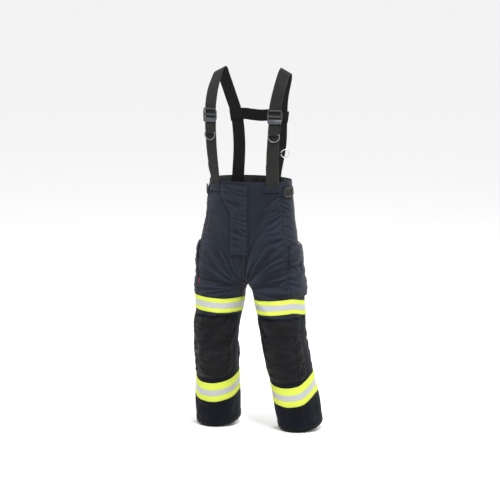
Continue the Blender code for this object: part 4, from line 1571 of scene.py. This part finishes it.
@dataclass
class Path:
    """A smooth line through places, with the direction of a strap's width along it.

    Attributes:
        stops: pairs of a place and a width direction.
        side: the wearer's side that it is mirrored to.
    """

    stops: list[tuple[tuple[float, float, float], tuple[float, float, float]]]
    side: Side = Side.LEFT
    places: Array = field(init=False)
    widths: Array = field(init=False)
    length: float = field(init=False)

    def __post_init__(self) -> None:
        """Samples the line at even distances."""
        rows = np.array([[*place, *across] for place, across in self.stops], float)
        last = len(rows) - 1
        s = np.linspace(0.0, last, 400)
        i = np.minimum(s.astype(int), last - 1)
        t = (s - i)[:, None]
        window = [rows[np.clip(i + k, 0, last)] for k in (-1, 0, 1, 2)]
        weights = (
            -0.5 * t + t**2 - 0.5 * t**3,
            1 - 2.5 * t**2 + 1.5 * t**3,
            0.5 * t + 2 * t**2 - 1.5 * t**3,
            -0.5 * t**2 + 0.5 * t**3,
        )
        found = sum(w * row for w, row in zip(weights, window))
        steps = np.linalg.norm(np.diff(found[:, :3], axis=0), axis=1)
        walked = np.concatenate([[0.0], np.cumsum(steps)])
        self.length = float(walked[-1])
        even = np.linspace(0.0, self.length, 400)
        found = np.stack([np.interp(even, walked, found[:, k]) for k in range(6)], axis=1)
        self.places, self.widths = found[:, :3], found[:, 3:]

    def frame(self, share: Array) -> tuple[Array, Array, Array, Array]:
        """The strap's frame at places along the line.

        Args:
            share: shares of the line done.

        Returns:
            Place, width direction, outward direction and direction along.
        """
        at = np.clip(share, 0.0, 1.0) * 399
        index = np.arange(400)
        place = np.stack([np.interp(at, index, self.places[:, k]) for k in range(3)], -1)
        across = np.stack([np.interp(at, index, self.widths[:, k]) for k in range(3)], -1)
        slope = np.gradient(self.places, axis=0)
        along = np.stack([np.interp(at, index, slope[:, k]) for k in range(3)], -1)
        along /= np.linalg.norm(along, axis=-1, keepdims=True)
        outward = np.cross(across, along)
        outward /= np.linalg.norm(outward, axis=-1, keepdims=True)
        return place, np.cross(along, outward), outward, along

    def at_height(self, z: float) -> tuple[Vector, Vector, Vector, Vector]:
        """The frame where the line first reaches a height."""
        first = int(np.argmax(self.places[:, 2] >= z))
        found = self.frame(np.array([first / 399]))
        return tuple(Vector(part[0]) for part in found)

    def strap(
        self,
        name: str,
        width: float,
        thickness: float,
        rows: int,
        lift: float = 0.0,
        wave: float = 0.0005,
        span: tuple[float, float] = (0.0, 1.0),
    ) -> bpy.types.Object:
        """Lays webbing along the line.

        Args:
            name: the piece's name.
            width: the webbing's width.
            thickness: its thickness.
            rows: faces along it.
            lift: its inner face's distance off the line.
            wave: how unevenly it lies.
            span: first and last share of the line that it covers.

        Returns:
            The new object.
        """
        seed = sum(map(ord, name))

        def place(across: Array, up: Array) -> Array:
            share = span[0] + (span[1] - span[0]) * up
            middle, wide, outward, _ = self.frame(share)
            metres = share * self.length
            off = lift + thickness + wave * lattice_noise(across * 1.5, metres * 22.0, 1.0, seed)
            edge = 0.0004 * smoothstep(0.12, 0.0, np.minimum(across, 1 - across))
            shift = 0.0004 * lattice_noise(metres * 30.0, 3.0 * across.round(), 5.0, seed)
            points = middle + wide * ((across - 0.5) * width + shift)[:, None]
            points = points + outward * (off - edge)[:, None]
            return points * np.array([self.side.value, 1.0, 1.0])

        cloth = Cloth(name, 14, rows, thickness)
        return cloth.make(place, flip=self.side is Side.RIGHT)


def rounded_plate(
    name: str,
    size: tuple[float, float, float],
    corner: float,
    windows: list[tuple[float, float, float, float]],
    chamfer: float = 0.0008,
) -> bpy.types.Object:
    """A flat plate lying in XZ with round corners and rectangular windows.

    Args:
        name: the piece's name.
        size: width, depth and height.
        corner: radius of its corners.
        windows: left, right, foot and top of each opening.
        chamfer: softening of the edges.

    Returns:
        The new object, centred on the origin.
    """
    bpy.ops.object.select_all(action="DESELECT")
    bpy.ops.mesh.primitive_plane_add(size=1.0)
    obj = bpy.context.active_object
    obj.name = obj.data.name = name
    flat = get_points(obj)
    set_points(obj, np.stack([flat[:, 0] * size[0], flat[:, 2], flat[:, 1] * size[2]], 1))
    rounding = obj.modifiers.new("corners", "BEVEL")
    rounding.affect = "VERTICES"
    rounding.width = corner
    rounding.segments = 6
    depth = obj.modifiers.new("depth", "SOLIDIFY")
    depth.thickness = size[1]
    depth.offset = 0.0
    cutters = []
    for left, right, foot, top in windows:
        bpy.ops.object.select_all(action="DESELECT")
        bpy.ops.mesh.primitive_cube_add(size=1.0)
        cutter = bpy.context.active_object
        scale = np.array([right - left, size[1] * 3, top - foot])
        set_points(cutter, get_points(cutter) * scale + [(left + right) / 2, 0, (foot + top) / 2])
        cut = obj.modifiers.new("window", "BOOLEAN")
        cut.operation, cut.solver, cut.object = "DIFFERENCE", "EXACT", cutter
        cutters.append(cutter)
    soft = obj.modifiers.new("chamfer", "BEVEL")
    soft.width, soft.segments, soft.limit_method = chamfer, 2, "ANGLE"
    apply_modifiers(obj)
    for cutter in cutters:
        bpy.data.objects.remove(cutter, do_unlink=True)
    turn_outwards(obj)
    bpy.ops.object.shade_smooth_by_angle(angle=math.radians(35.0))
    return obj


def carry(
    obj: bpy.types.Object,
    place: Vector,
    across: Vector,
    outward: Vector,
    side: Side,
) -> None:
    """Moves a piece drawn in XZ, face to -Y, to a place on a strap.

    Args:
        obj: the piece.
        place: where its origin goes, on the wearer's left.
        across: where its +X goes.
        outward: where its -Y goes.
        side: the wearer's side that it ends up on.
    """
    along = outward.cross(across)
    local = get_points(obj)
    points = np.array(place) + (
        local[:, :1] * np.array(across)
        - local[:, 1:2] * np.array(outward)
        + local[:, 2:] * np.array(along)
    )
    set_points(obj, points * np.array([side.value, 1.0, 1.0]))
    turn_outwards(obj)


def wire(name: str, outline: Array, radius: float, sides: int = 14) -> bpy.types.Object:
    """A closed round wire along an outline.

    Args:
        name: the piece's name.
        outline: points of the wire's middle, once round.
        radius: the wire's radius.
        sides: faces round it.

    Returns:
        The new object.
    """
    count = len(outline)
    along = np.roll(outline, -1, axis=0) - np.roll(outline, 1, axis=0)
    along /= np.linalg.norm(along, axis=1, keepdims=True)
    centre = outline - outline.mean(axis=0)
    normal = np.cross(centre, along).sum(axis=0)
    normal /= np.linalg.norm(normal)
    out = np.cross(along, normal)

    def place(across: Array, up: Array) -> Array:
        index = np.round(up * count).astype(int) % count
        turn = across * math.tau
        return outline[index] + radius * (
            out[index] * np.cos(turn)[:, None] + normal * np.sin(turn)[:, None]
        )

    obj = Cloth(name, sides, count, 0.0).make(place)
    turn_outwards(obj)
    bpy.ops.object.shade_smooth()
    return obj


@dataclass
class Suspenders:
    """The straps with their adjusters, rings and the strap across the back.

    Attributes:
        finishes: materials by their short names.
    """

    finishes: dict[str, bpy.types.Material]

    front_angle: float = 44.0
    rear_angle: float = 149.0
    front_offset: float = 0.0034
    rear_offset: float = -0.016
    doubled: float = 0.105
    end_width: float = 0.0375
    dee_wire: float = 0.00225
    dee_half: float = 0.02375
    dee_drop: float = 0.0305
    buckle_angles: tuple[float, float, float] = (69.5, 73.5, 77.5)
    buckle_drop: float = 0.045
    buckle_size: tuple[float, float, float] = (0.045, 0.0046, 0.040)
    buckle_offset: float = 0.0058
    cross_width: float = 0.048
    tool_ring: float = 0.0165
    tool_wire: float = 0.0018
    width: float = 0.050
    webbing: float = 0.0018
    lock_height: float = 0.272
    lock_size: tuple[float, float, float] = (0.062, 0.0052, 0.058)
    dee_height: float = 0.200
    cross_height: float = 0.250
    accessory_height: float = 0.125

    def build(self) -> None:
        """Builds both sides and what joins them."""
        for side in Side:
            lower, upper = self.lower_path(side), self.upper_path(side)
            self.straps(side, lower, upper)
            self.lock(side, upper)
            self.tail(side, lower)
            self.waist_buckle(side)
        self.cross_strap()
        self.accessory()
        log.info("built the suspenders")

    def lower_path(self, side: Side) -> Path:
        """From the waistband up to the adjuster."""
        sewn = (0.83, 0.56, 0.0)
        foot = self.on_waist(-0.030, self.front_angle, self.front_offset)
        edge = self.on_waist(0.0, self.front_angle, self.front_offset)
        stops = [
            (foot, sewn),
            (edge, sewn),
            ((0.127, -0.110, 0.060), (0.94, 0.34, 0.0)),
            ((0.132, -0.119, 0.130), (0.97, 0.24, 0.0)),
            ((0.139, -0.117, 0.239), (0.98, 0.18, 0.0)),
        ]
        return Path(stops, side)

    def upper_path(self, side: Side) -> Path:
        """From the adjuster over the shoulder and down to the back of the waist."""
        stops = [
            ((0.1385, -0.1150, 0.222), (0.98, 0.18, 0.0)),
            ((0.139, -0.1135, 0.251), (0.98, 0.18, 0.0)),
            ((0.140, -0.109, 0.312), (0.98, 0.16, 0.0)),
            ((0.143, -0.072, 0.375), (0.97, 0.10, -0.20)),
            ((0.143, -0.022, 0.425), (0.90, 0.04, -0.42)),
            ((0.143, 0.006, 0.445), (0.89, 0.0, -0.46)),
            ((0.141, 0.030, 0.446), (0.89, -0.02, -0.46)),
            ((0.136, 0.045, 0.418), (0.90, -0.04, -0.40)),
            ((0.114, 0.066, 0.335), (0.96, -0.12, -0.20)),
            ((0.099, 0.098, 0.250), (0.98, -0.18, 0.0)),
            ((0.092, 0.110, 0.130), (0.97, -0.24, 0.0)),
            (self.on_waist(0.012, self.rear_angle, self.rear_offset), (0.93, -0.37, 0.0)),
            (self.on_waist(-0.045, self.rear_angle, self.rear_offset), (0.93, -0.37, 0.0)),
        ]
        return Path(stops, side)

    @staticmethod
    def on_waist(rise: float, degrees: float, offset: float) -> tuple[float, float, float]:
        """A place near the waist, on the wearer's left."""
        height = np.array([FIGURE.waist + rise])
        return tuple(FIGURE.point(height, np.array([degrees]), offset, Side.LEFT)[0])

    def straps(self, side: Side, lower: Path, upper: Path) -> None:
        """The webbing in front, doubled near the waist, and the webbing over the shoulder."""
        label = side.label
        front = lower.strap(f"front_webbing_{label}", self.width, self.webbing, 120)
        share = self.doubled / lower.length
        doubled = lower.strap(
            f"doubled_webbing_{label}", self.width + 0.003, self.webbing, 60,
            lift=self.webbing + 0.0002, span=(0.0, share),
        )
        over = upper.strap(
            f"shoulder_webbing_{label}", self.width, self.webbing, 320, wave=0.0002
        )
        for obj in (front, doubled, over):
            dress(obj, self.finishes["webbing"])
            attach(obj, "seat")
        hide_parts(f"front_strap_{label}")
        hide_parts(f"shoulder_strap_{label}")
        self.strap_tunnel(side)

    def strap_tunnel(self, side: Side) -> None:
        """The cloth that covers the strap's sewn foot, below a curved slit in the waistband."""

        def high(across: Array, up: Array) -> Array:
            return FIGURE.waist - 0.012 - 0.006 * bump(0.5, 0.5, across)

        def offset(across: Array, up: Array) -> Array:
            rim = smoothstep(0.0, 0.22, np.minimum(across, 1 - across)) * (0.35 + 0.65 * up)
            return 0.0036 + 0.0056 * rim

        obj = body_cloth(
            f"strap_tunnel_{side.label}", side, FIGURE.waist - 0.043, high, offset, (40, 20),
            0.0016, shares=(0.160, 0.330),
        )
        dress(obj, self.finishes["tunnel"])
        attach(obj, "seat")
        f"band_cloth_{side.label}"

    def lock(self, side: Side, upper: Path) -> None:
        """The moulded adjuster with its lip."""
        place, across, outward, along = upper.at_height(self.lock_height)
        wide, deep, tall = self.lock_size
        inner = wide / 2 - 0.0055
        windows = [
            (-inner, inner, -tall / 2 + 0.0135, -0.0040),
            (-inner, inner, 0.0060, tall / 2 - 0.0075),
        ]
        seat = place + outward * (0.0026 + deep / 2)
        plate = rounded_plate(f"lock_{side.label}", self.lock_size, 0.016, windows)
        bars = []
        for z, height in ((0.001, 0.006), (tall / 2 - 0.004, 0.0055), (-tall / 2 + 0.010, 0.006)):
            rung = rounded_plate("rung", (wide - 0.006, 0.0068, height), 0.0015, [], 0.0014)
            set_points(rung, get_points(rung) + [0.0, -0.0008, z])
            bars.append(rung)
        obj = join(f"lock_{side.label}", [plate, *bars])
        carry(obj, seat, across, outward, side)
        dress(obj, self.finishes["lock"])
        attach(obj, f"{side.label}_strap_lock")
        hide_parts(f"strap_lock_{side.label}")
        lip_size = (wide * 0.94, 0.0046, 0.020)
        lip = rounded_plate(f"lock_lip_{side.label}", lip_size, 0.0085, [], 0.0018)
        tilt = math.radians(16.0)
        local = get_points(lip)
        turned = np.stack([
            local[:, 0],
            local[:, 1] * math.cos(tilt) + local[:, 2] * math.sin(tilt) - 0.0040,
            local[:, 2] * math.cos(tilt) - local[:, 1] * math.sin(tilt) - tall / 2 + 0.0085,
        ], axis=1)
        set_points(lip, turned)
        carry(lip, seat, across, outward, side)
        dress(lip, self.finishes["lip"])
        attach(lip, f"{side.label}_strap_lock")

    def tail(self, side: Side, lower: Path) -> None:
        """The strap's loose end and the dee ring that it is folded round."""
        place, across, _, along = lower.at_height(self.dee_height)
        across = Vector((across.x, across.y, 0.0)).normalized()
        outward = across.cross(along).normalized()
        up = outward.cross(across)
        radius, gap = self.dee_wire, 0.0004
        loop = radius + 2 * gap
        bar = place + outward * (2 * self.webbing + 3 * gap + loop)
        top = lower.at_height(self.lock_height - 0.035)[0]
        reach = (top - place).length
        stops = [(bar - outward * loop + up * 0.020, across)]
        for i in range(9):
            turn = math.pi * (1 - i / 8)
            off = outward * loop * math.cos(turn) - up * loop * math.sin(turn)
            stops.append((bar + off, across))
        for share in (0.25, 0.5, 0.75, 1.0):
            stops.append((bar + outward * loop + up * reach * share, across))
        path = Path([(tuple(p), tuple(a)) for p, a in stops], side)
        obj = path.strap(f"loose_end_{side.label}", self.end_width, 0.0017, 110, wave=0.0002)
        dress(obj, self.finishes["tail"])
        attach(obj, f"{side.label}_strap_tail")
        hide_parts(f"strap_tail_{side.label}")
        f"front_webbing_{side.label}"

        half, drop = self.dee_half, self.dee_drop
        turns = np.linspace(0.0, math.pi, 40)
        x = np.concatenate([np.linspace(-half * 0.92, half * 0.92, 20), half * np.cos(turns)])
        z = np.concatenate([np.zeros(20), -drop * (0.22 + 0.78 * np.sin(turns))])
        outline = np.array(bar) + x[:, None] * np.array(across) + z[:, None] * np.array(up)
        ring = wire(f"dee_{side.label}", outline * [side.value, 1, 1], radius)
        dress(ring, self.finishes["dee"])
        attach(ring, f"{side.label}_dee_ring")
        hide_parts(f"dee_ring_{side.label}")

    def waist_buckle(self, side: Side) -> None:
        """The ladder buckle at the side of the waist, and the loop of cloth that holds it."""
        height = np.array([FIGURE.waist - self.buckle_drop])
        around = [
            Vector(FIGURE.point(height, np.array([angle]), 0.0, Side.LEFT)[0])
            for angle in self.buckle_angles
        ]
        across = (around[2] - around[0]).normalized()
        outward = across.cross(Vector((0, 0, 1))).normalized()
        seat = around[1] + outward * self.buckle_offset
        windows = []
        for n in range(3):
            left = -0.0175 + n * 0.0129
            windows.append((left, left + 0.0093, -0.0145, 0.0145))
        obj = rounded_plate(f"ladder_{side.label}", self.buckle_size, 0.009, windows)
        carry(obj, seat, across, outward, side)
        dress(obj, self.finishes["ladder"])
        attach(obj, f"{side.label}_waist_buckle")
        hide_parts(f"waist_buckle_{side.label}")

        holder = body_cloth(
            f"buckle_loop_{side.label}", side, FIGURE.waist - 0.060, FIGURE.waist - 0.030,
            lambda across, up: 0.0030 + 0.0052 * smoothstep(0.30, 0.62, across),
            (30, 10), 0.0016, shares=(0.300, 0.372),
        )
        dress(holder, self.finishes["narrow_webbing"])
        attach(holder, "seat")

    def cross_strap(self) -> None:
        """The strap across the back, sewn to both shoulder straps."""
        left = self.upper_path(Side.LEFT)
        last = int(np.argmax(left.places[::-1, 2] >= self.cross_height))
        found = left.frame(np.array([(399 - last) / 399]))
        place, across, outward, _ = (Vector(part[0]) for part in found)
        across = across if across.x > 0 else across * -1
        back = outward if outward.y > 0 else outward * -1
        gap = self.webbing + 0.0008
        end = place + across * 0.029 + back * gap
        start = place - across * 0.029 + back * gap
        up = (0.0, 0.0, 1.0)
        half = [(tuple(end), up), (tuple(start), up)]
        middle_y = start.y + 0.010
        half.append(((start.x * 0.5, start.y + 0.005, start.z - 0.003), up))
        other = [((-p[0], p[1], p[2]), w) for p, w in half[::-1]]
        stops = half + [((0.0, middle_y, start.z - 0.006), up)] + other
        obj = Path(stops[::-1]).strap("back_webbing", self.cross_width, self.webbing, 160)
        turn_outwards(obj)
        dress(obj, self.finishes["cross"])
        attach(obj, "seat")
        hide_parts("cross_strap")

    def accessory(self) -> None:
        """A ring for tools, in a small loop at the left strap's outer edge."""
        lower = self.lower_path(Side.LEFT)
        place, across, outward, along = lower.at_height(self.accessory_height)
        loop = 0.0018 + 0.0017
        edge = place + across * 0.0256 + outward * 0.0009
        bar = edge + across * 0.0088
        stops = [(edge - outward * loop, along)]
        for i in range(9):
            turn = math.pi * (1 - i / 8)
            off = outward * loop * math.cos(turn) + across * loop * math.sin(turn)
            stops.append((bar + off, along))
        stops.append((edge + outward * loop, along))
        path = Path([(tuple(p), tuple(a)) for p, a in stops])
        obj = path.strap("ring_loop", 0.007, 0.0014, 60, wave=0.0)
        turn_outwards(obj)
        dress(obj, self.finishes["tail"])
        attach(obj, "seat")
        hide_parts("accessory_loop")
        turns = np.linspace(0.0, math.tau, 72, endpoint=False)
        radius = self.tool_ring
        outline = (
            np.array(bar)
            + radius * (1 - np.cos(turns))[:, None] * np.array(across)
            + radius * np.sin(turns)[:, None] * np.array(along)
        )
        ring = wire("tool_ring", outline, self.tool_wire)
        dress(ring, self.finishes["ring"])
        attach(ring, "accessory_ring")
        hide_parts("accessory_ring")


# ------------------------------------------------------------------ studio
@dataclass(frozen=True)
class Studio:
    """Pale floor, soft light and the camera.

    Attributes:
        azimuth: degrees round the object that the camera stands at.
        elevation: degrees above the horizontal.
        distance: from the target.
        frame_width: width of the view at the target.
        target: the middle of the view.
        surround: the even light's strength.
        floor_level: height of the floor.
        lamps: each lamp's name, place, size and power.
    """

    azimuth: float = 19.0
    elevation: float = 9.0
    distance: float = 12.0
    frame_width: float = 2.08
    target: tuple[float, float, float] = (-0.0063, -0.0022, -0.301)
    surround: float = 0.90
    floor_level: float = -1.0668
    lamps: tuple = (
        ("key", (1.5, -2.4, 3.0), 0.9, 170.0),
        ("fill", (-3.2, -2.0, 0.8), 2.4, 20.0),
        ("rim", (1.6, 2.6, 2.6), 1.6, 60.0),
    )

    def build(self) -> None:
        """Sets up the world, floor, lights and camera."""
        self.world()
        self.floor()
        for lamp in self.lamps:
            self.light(*lamp)
        self.camera()
        scene = bpy.context.scene
        scene.view_settings.view_transform = "Standard"

    def world(self) -> None:
        """An even white surround."""
        world = bpy.data.worlds.new("surround")
        world.use_nodes = True
        background = world.node_tree.nodes["Background"]
        background.inputs["Color"].default_value = (1.0, 1.0, 1.0, 1.0)
        background.inputs["Strength"].default_value = self.surround
        bpy.context.scene.world = world

    def floor(self) -> None:
        """A plain pale floor just under the hems."""
        bpy.ops.object.select_all(action="DESELECT")
        bpy.ops.mesh.primitive_plane_add(size=60.0, location=(0, 0, self.floor_level))
        floor = bpy.context.active_object
        floor.name = "floor"
        material = bpy.data.materials.new("floor_paint")
        material.use_nodes = True
        shader = material.node_tree.nodes["Principled BSDF"]
        shader.inputs["Base Color"].default_value = (0.99, 0.99, 0.99, 1.0)
        shader.inputs["Roughness"].default_value = 0.9
        floor.data.materials.append(material)

    def light(
        self, name: str, place: tuple[float, float, float], size: float, power: float
    ) -> None:
        """A soft lamp turned to the object.

        Args:
            name: the lamp's name.
            place: where it stands.
            size: the side of its square.
            power: in watts.
        """
        bpy.ops.object.select_all(action="DESELECT")
        bpy.ops.object.light_add(type="AREA", location=place)
        lamp = bpy.context.active_object
        lamp.name = f"{name}_lamp"
        lamp.data.size = size
        lamp.data.energy = power
        aim = Vector(self.target) - Vector(place)
        lamp.rotation_euler = aim.to_track_quat("-Z", "Y").to_euler()

    def camera(self) -> None:
        """A distant camera at the azimuth and elevation."""
        turn, lift = math.radians(self.azimuth), math.radians(self.elevation)
        back = Vector((math.sin(turn) * math.cos(lift), -math.cos(turn) * math.cos(lift),
                       math.sin(lift)))
        target = Vector(self.target)
        bpy.ops.object.select_all(action="DESELECT")
        bpy.ops.object.camera_add(location=target + back * self.distance)
        camera = bpy.context.active_object
        camera.rotation_euler = (-back).to_track_quat("-Z", "Y").to_euler()
        camera.data.sensor_width = 36.0
        camera.data.lens = camera.data.sensor_width * self.distance / self.frame_width
        bpy.context.scene.camera = camera


def make_finishes() -> dict[str, bpy.types.Material]:
    """All materials by their short names."""
    # The legs below the thigh seam take a darker copy of the shell's cloth, with less gloss and
    # sheen.
    lower_dark, lower_pale = (0.0020, 0.0028, 0.0056), (0.0060, 0.0078, 0.0130)
    edge = (0.005, 0.011)
    shell = ShellCloth("shell_cloth", rows=edge, seams=(-0.003, 0.003, 0.010))
    leg = ShellCloth(
        "leg_cloth", lower_dark, lower_pale, rows=(0.020,), seams=(-0.003, 0.003, 0.010),
        gloss=0.10, sheen=0.04,
    )
    return {
        "upper_shell": shell.build(),
        "lower_shell": leg.build(),
        "band": ShellCloth("band_cloth", rows=(0.003, 0.012, 0.022, 0.032, 0.040)).build(),
        "tunnel": ShellCloth("tunnel_cloth", rows=(0.004,)).build(),
        "pocket": ShellCloth("pocket_cloth", rows=(0.006,)).build(),
        "flap": ShellCloth("flap_cloth", rows=(0.005, 0.011, 0.074)).build(),
        "fly": ShellCloth("fly_cloth", rows=(0.005,), seams=(0.005, 0.011, 0.040)).build(),
        "lining": QuiltedLining().build(),
        "padding": QuiltedLining("padding_cover").build(),
        "thigh_tape": TapeCloth("thigh_tape", 0.060, 0.40).build(),
        "shin_tape": TapeCloth("shin_tape", 0.083, 0.32).build(),
        "patch": CoatedPatch().build(),
        "binding": CoatedPatch("hem_coating").build(),
        "webbing": Webbing("strap_webbing").build(),
        "tail": Webbing("tail_webbing", 0.0375).build(),
        "cross": Webbing("cross_webbing", 0.048, gloss=0.09).build(),
        "narrow_webbing": Webbing(
            "waist_webbing", 0.028, (0.0052, 0.0076, 0.0135), (0.0130, 0.0170, 0.0260),
            (0.0052, 0.0076, 0.0135),
        ).build(),
        "lock": Moulded("lock_plastic", (0.010, 0.011, 0.013), (0.024, 0.026, 0.030)).build(),
        # The lip takes the lock's plastic set paler and bluer, a painted highlight for the light
        # on the lip.
        "lip": Moulded("lip_plastic", (0.019, 0.022, 0.028), (0.036, 0.041, 0.050), 0.38).build(),
        "ladder": Moulded("ladder_plastic", (0.018, 0.0175, 0.014), (0.038, 0.036, 0.029)).build(),
        "dee": Metal("dee_steel", (0.22, 0.22, 0.23), 0.32).build(),
        "ring": Metal("ring_steel", (0.62, 0.62, 0.61), 0.24).build(),
        "zip": Metal("zip_steel", (0.34, 0.34, 0.35), 0.34).build(),
        # A dark red, darkened further as painted shade for the shadow that the tab lies in.
        "red": Webbing(
            "red_tape", 0.012, (0.14, 0.008, 0.009), (0.24, 0.02, 0.02), (0.14, 0.008, 0.009)
        ).build(),
    }


def finish_hardware(finishes: dict[str, bpy.types.Material]) -> None:
    """Gives metal to the small parts that keep the model's own shapes."""
    for name in ("zip_slider", "waist_snap_stud", "waist_snap_socket"):
        obj = bpy.data.objects[name]
        obj.data.materials.clear()
        obj.data.materials.append(finishes["zip"])


def main() -> None:
    """Builds the looks in order."""
    logging.basicConfig(level=logging.INFO, format="%(name)s: %(message)s")
    finishes = make_finishes()
    for side in Side:
        Trousers(side, finishes).build()
    Closure(finishes).build()
    Suspenders(finishes).build()
    finish_hardware(finishes)
    Studio().build()


if __name__ == "__main__":
    main()
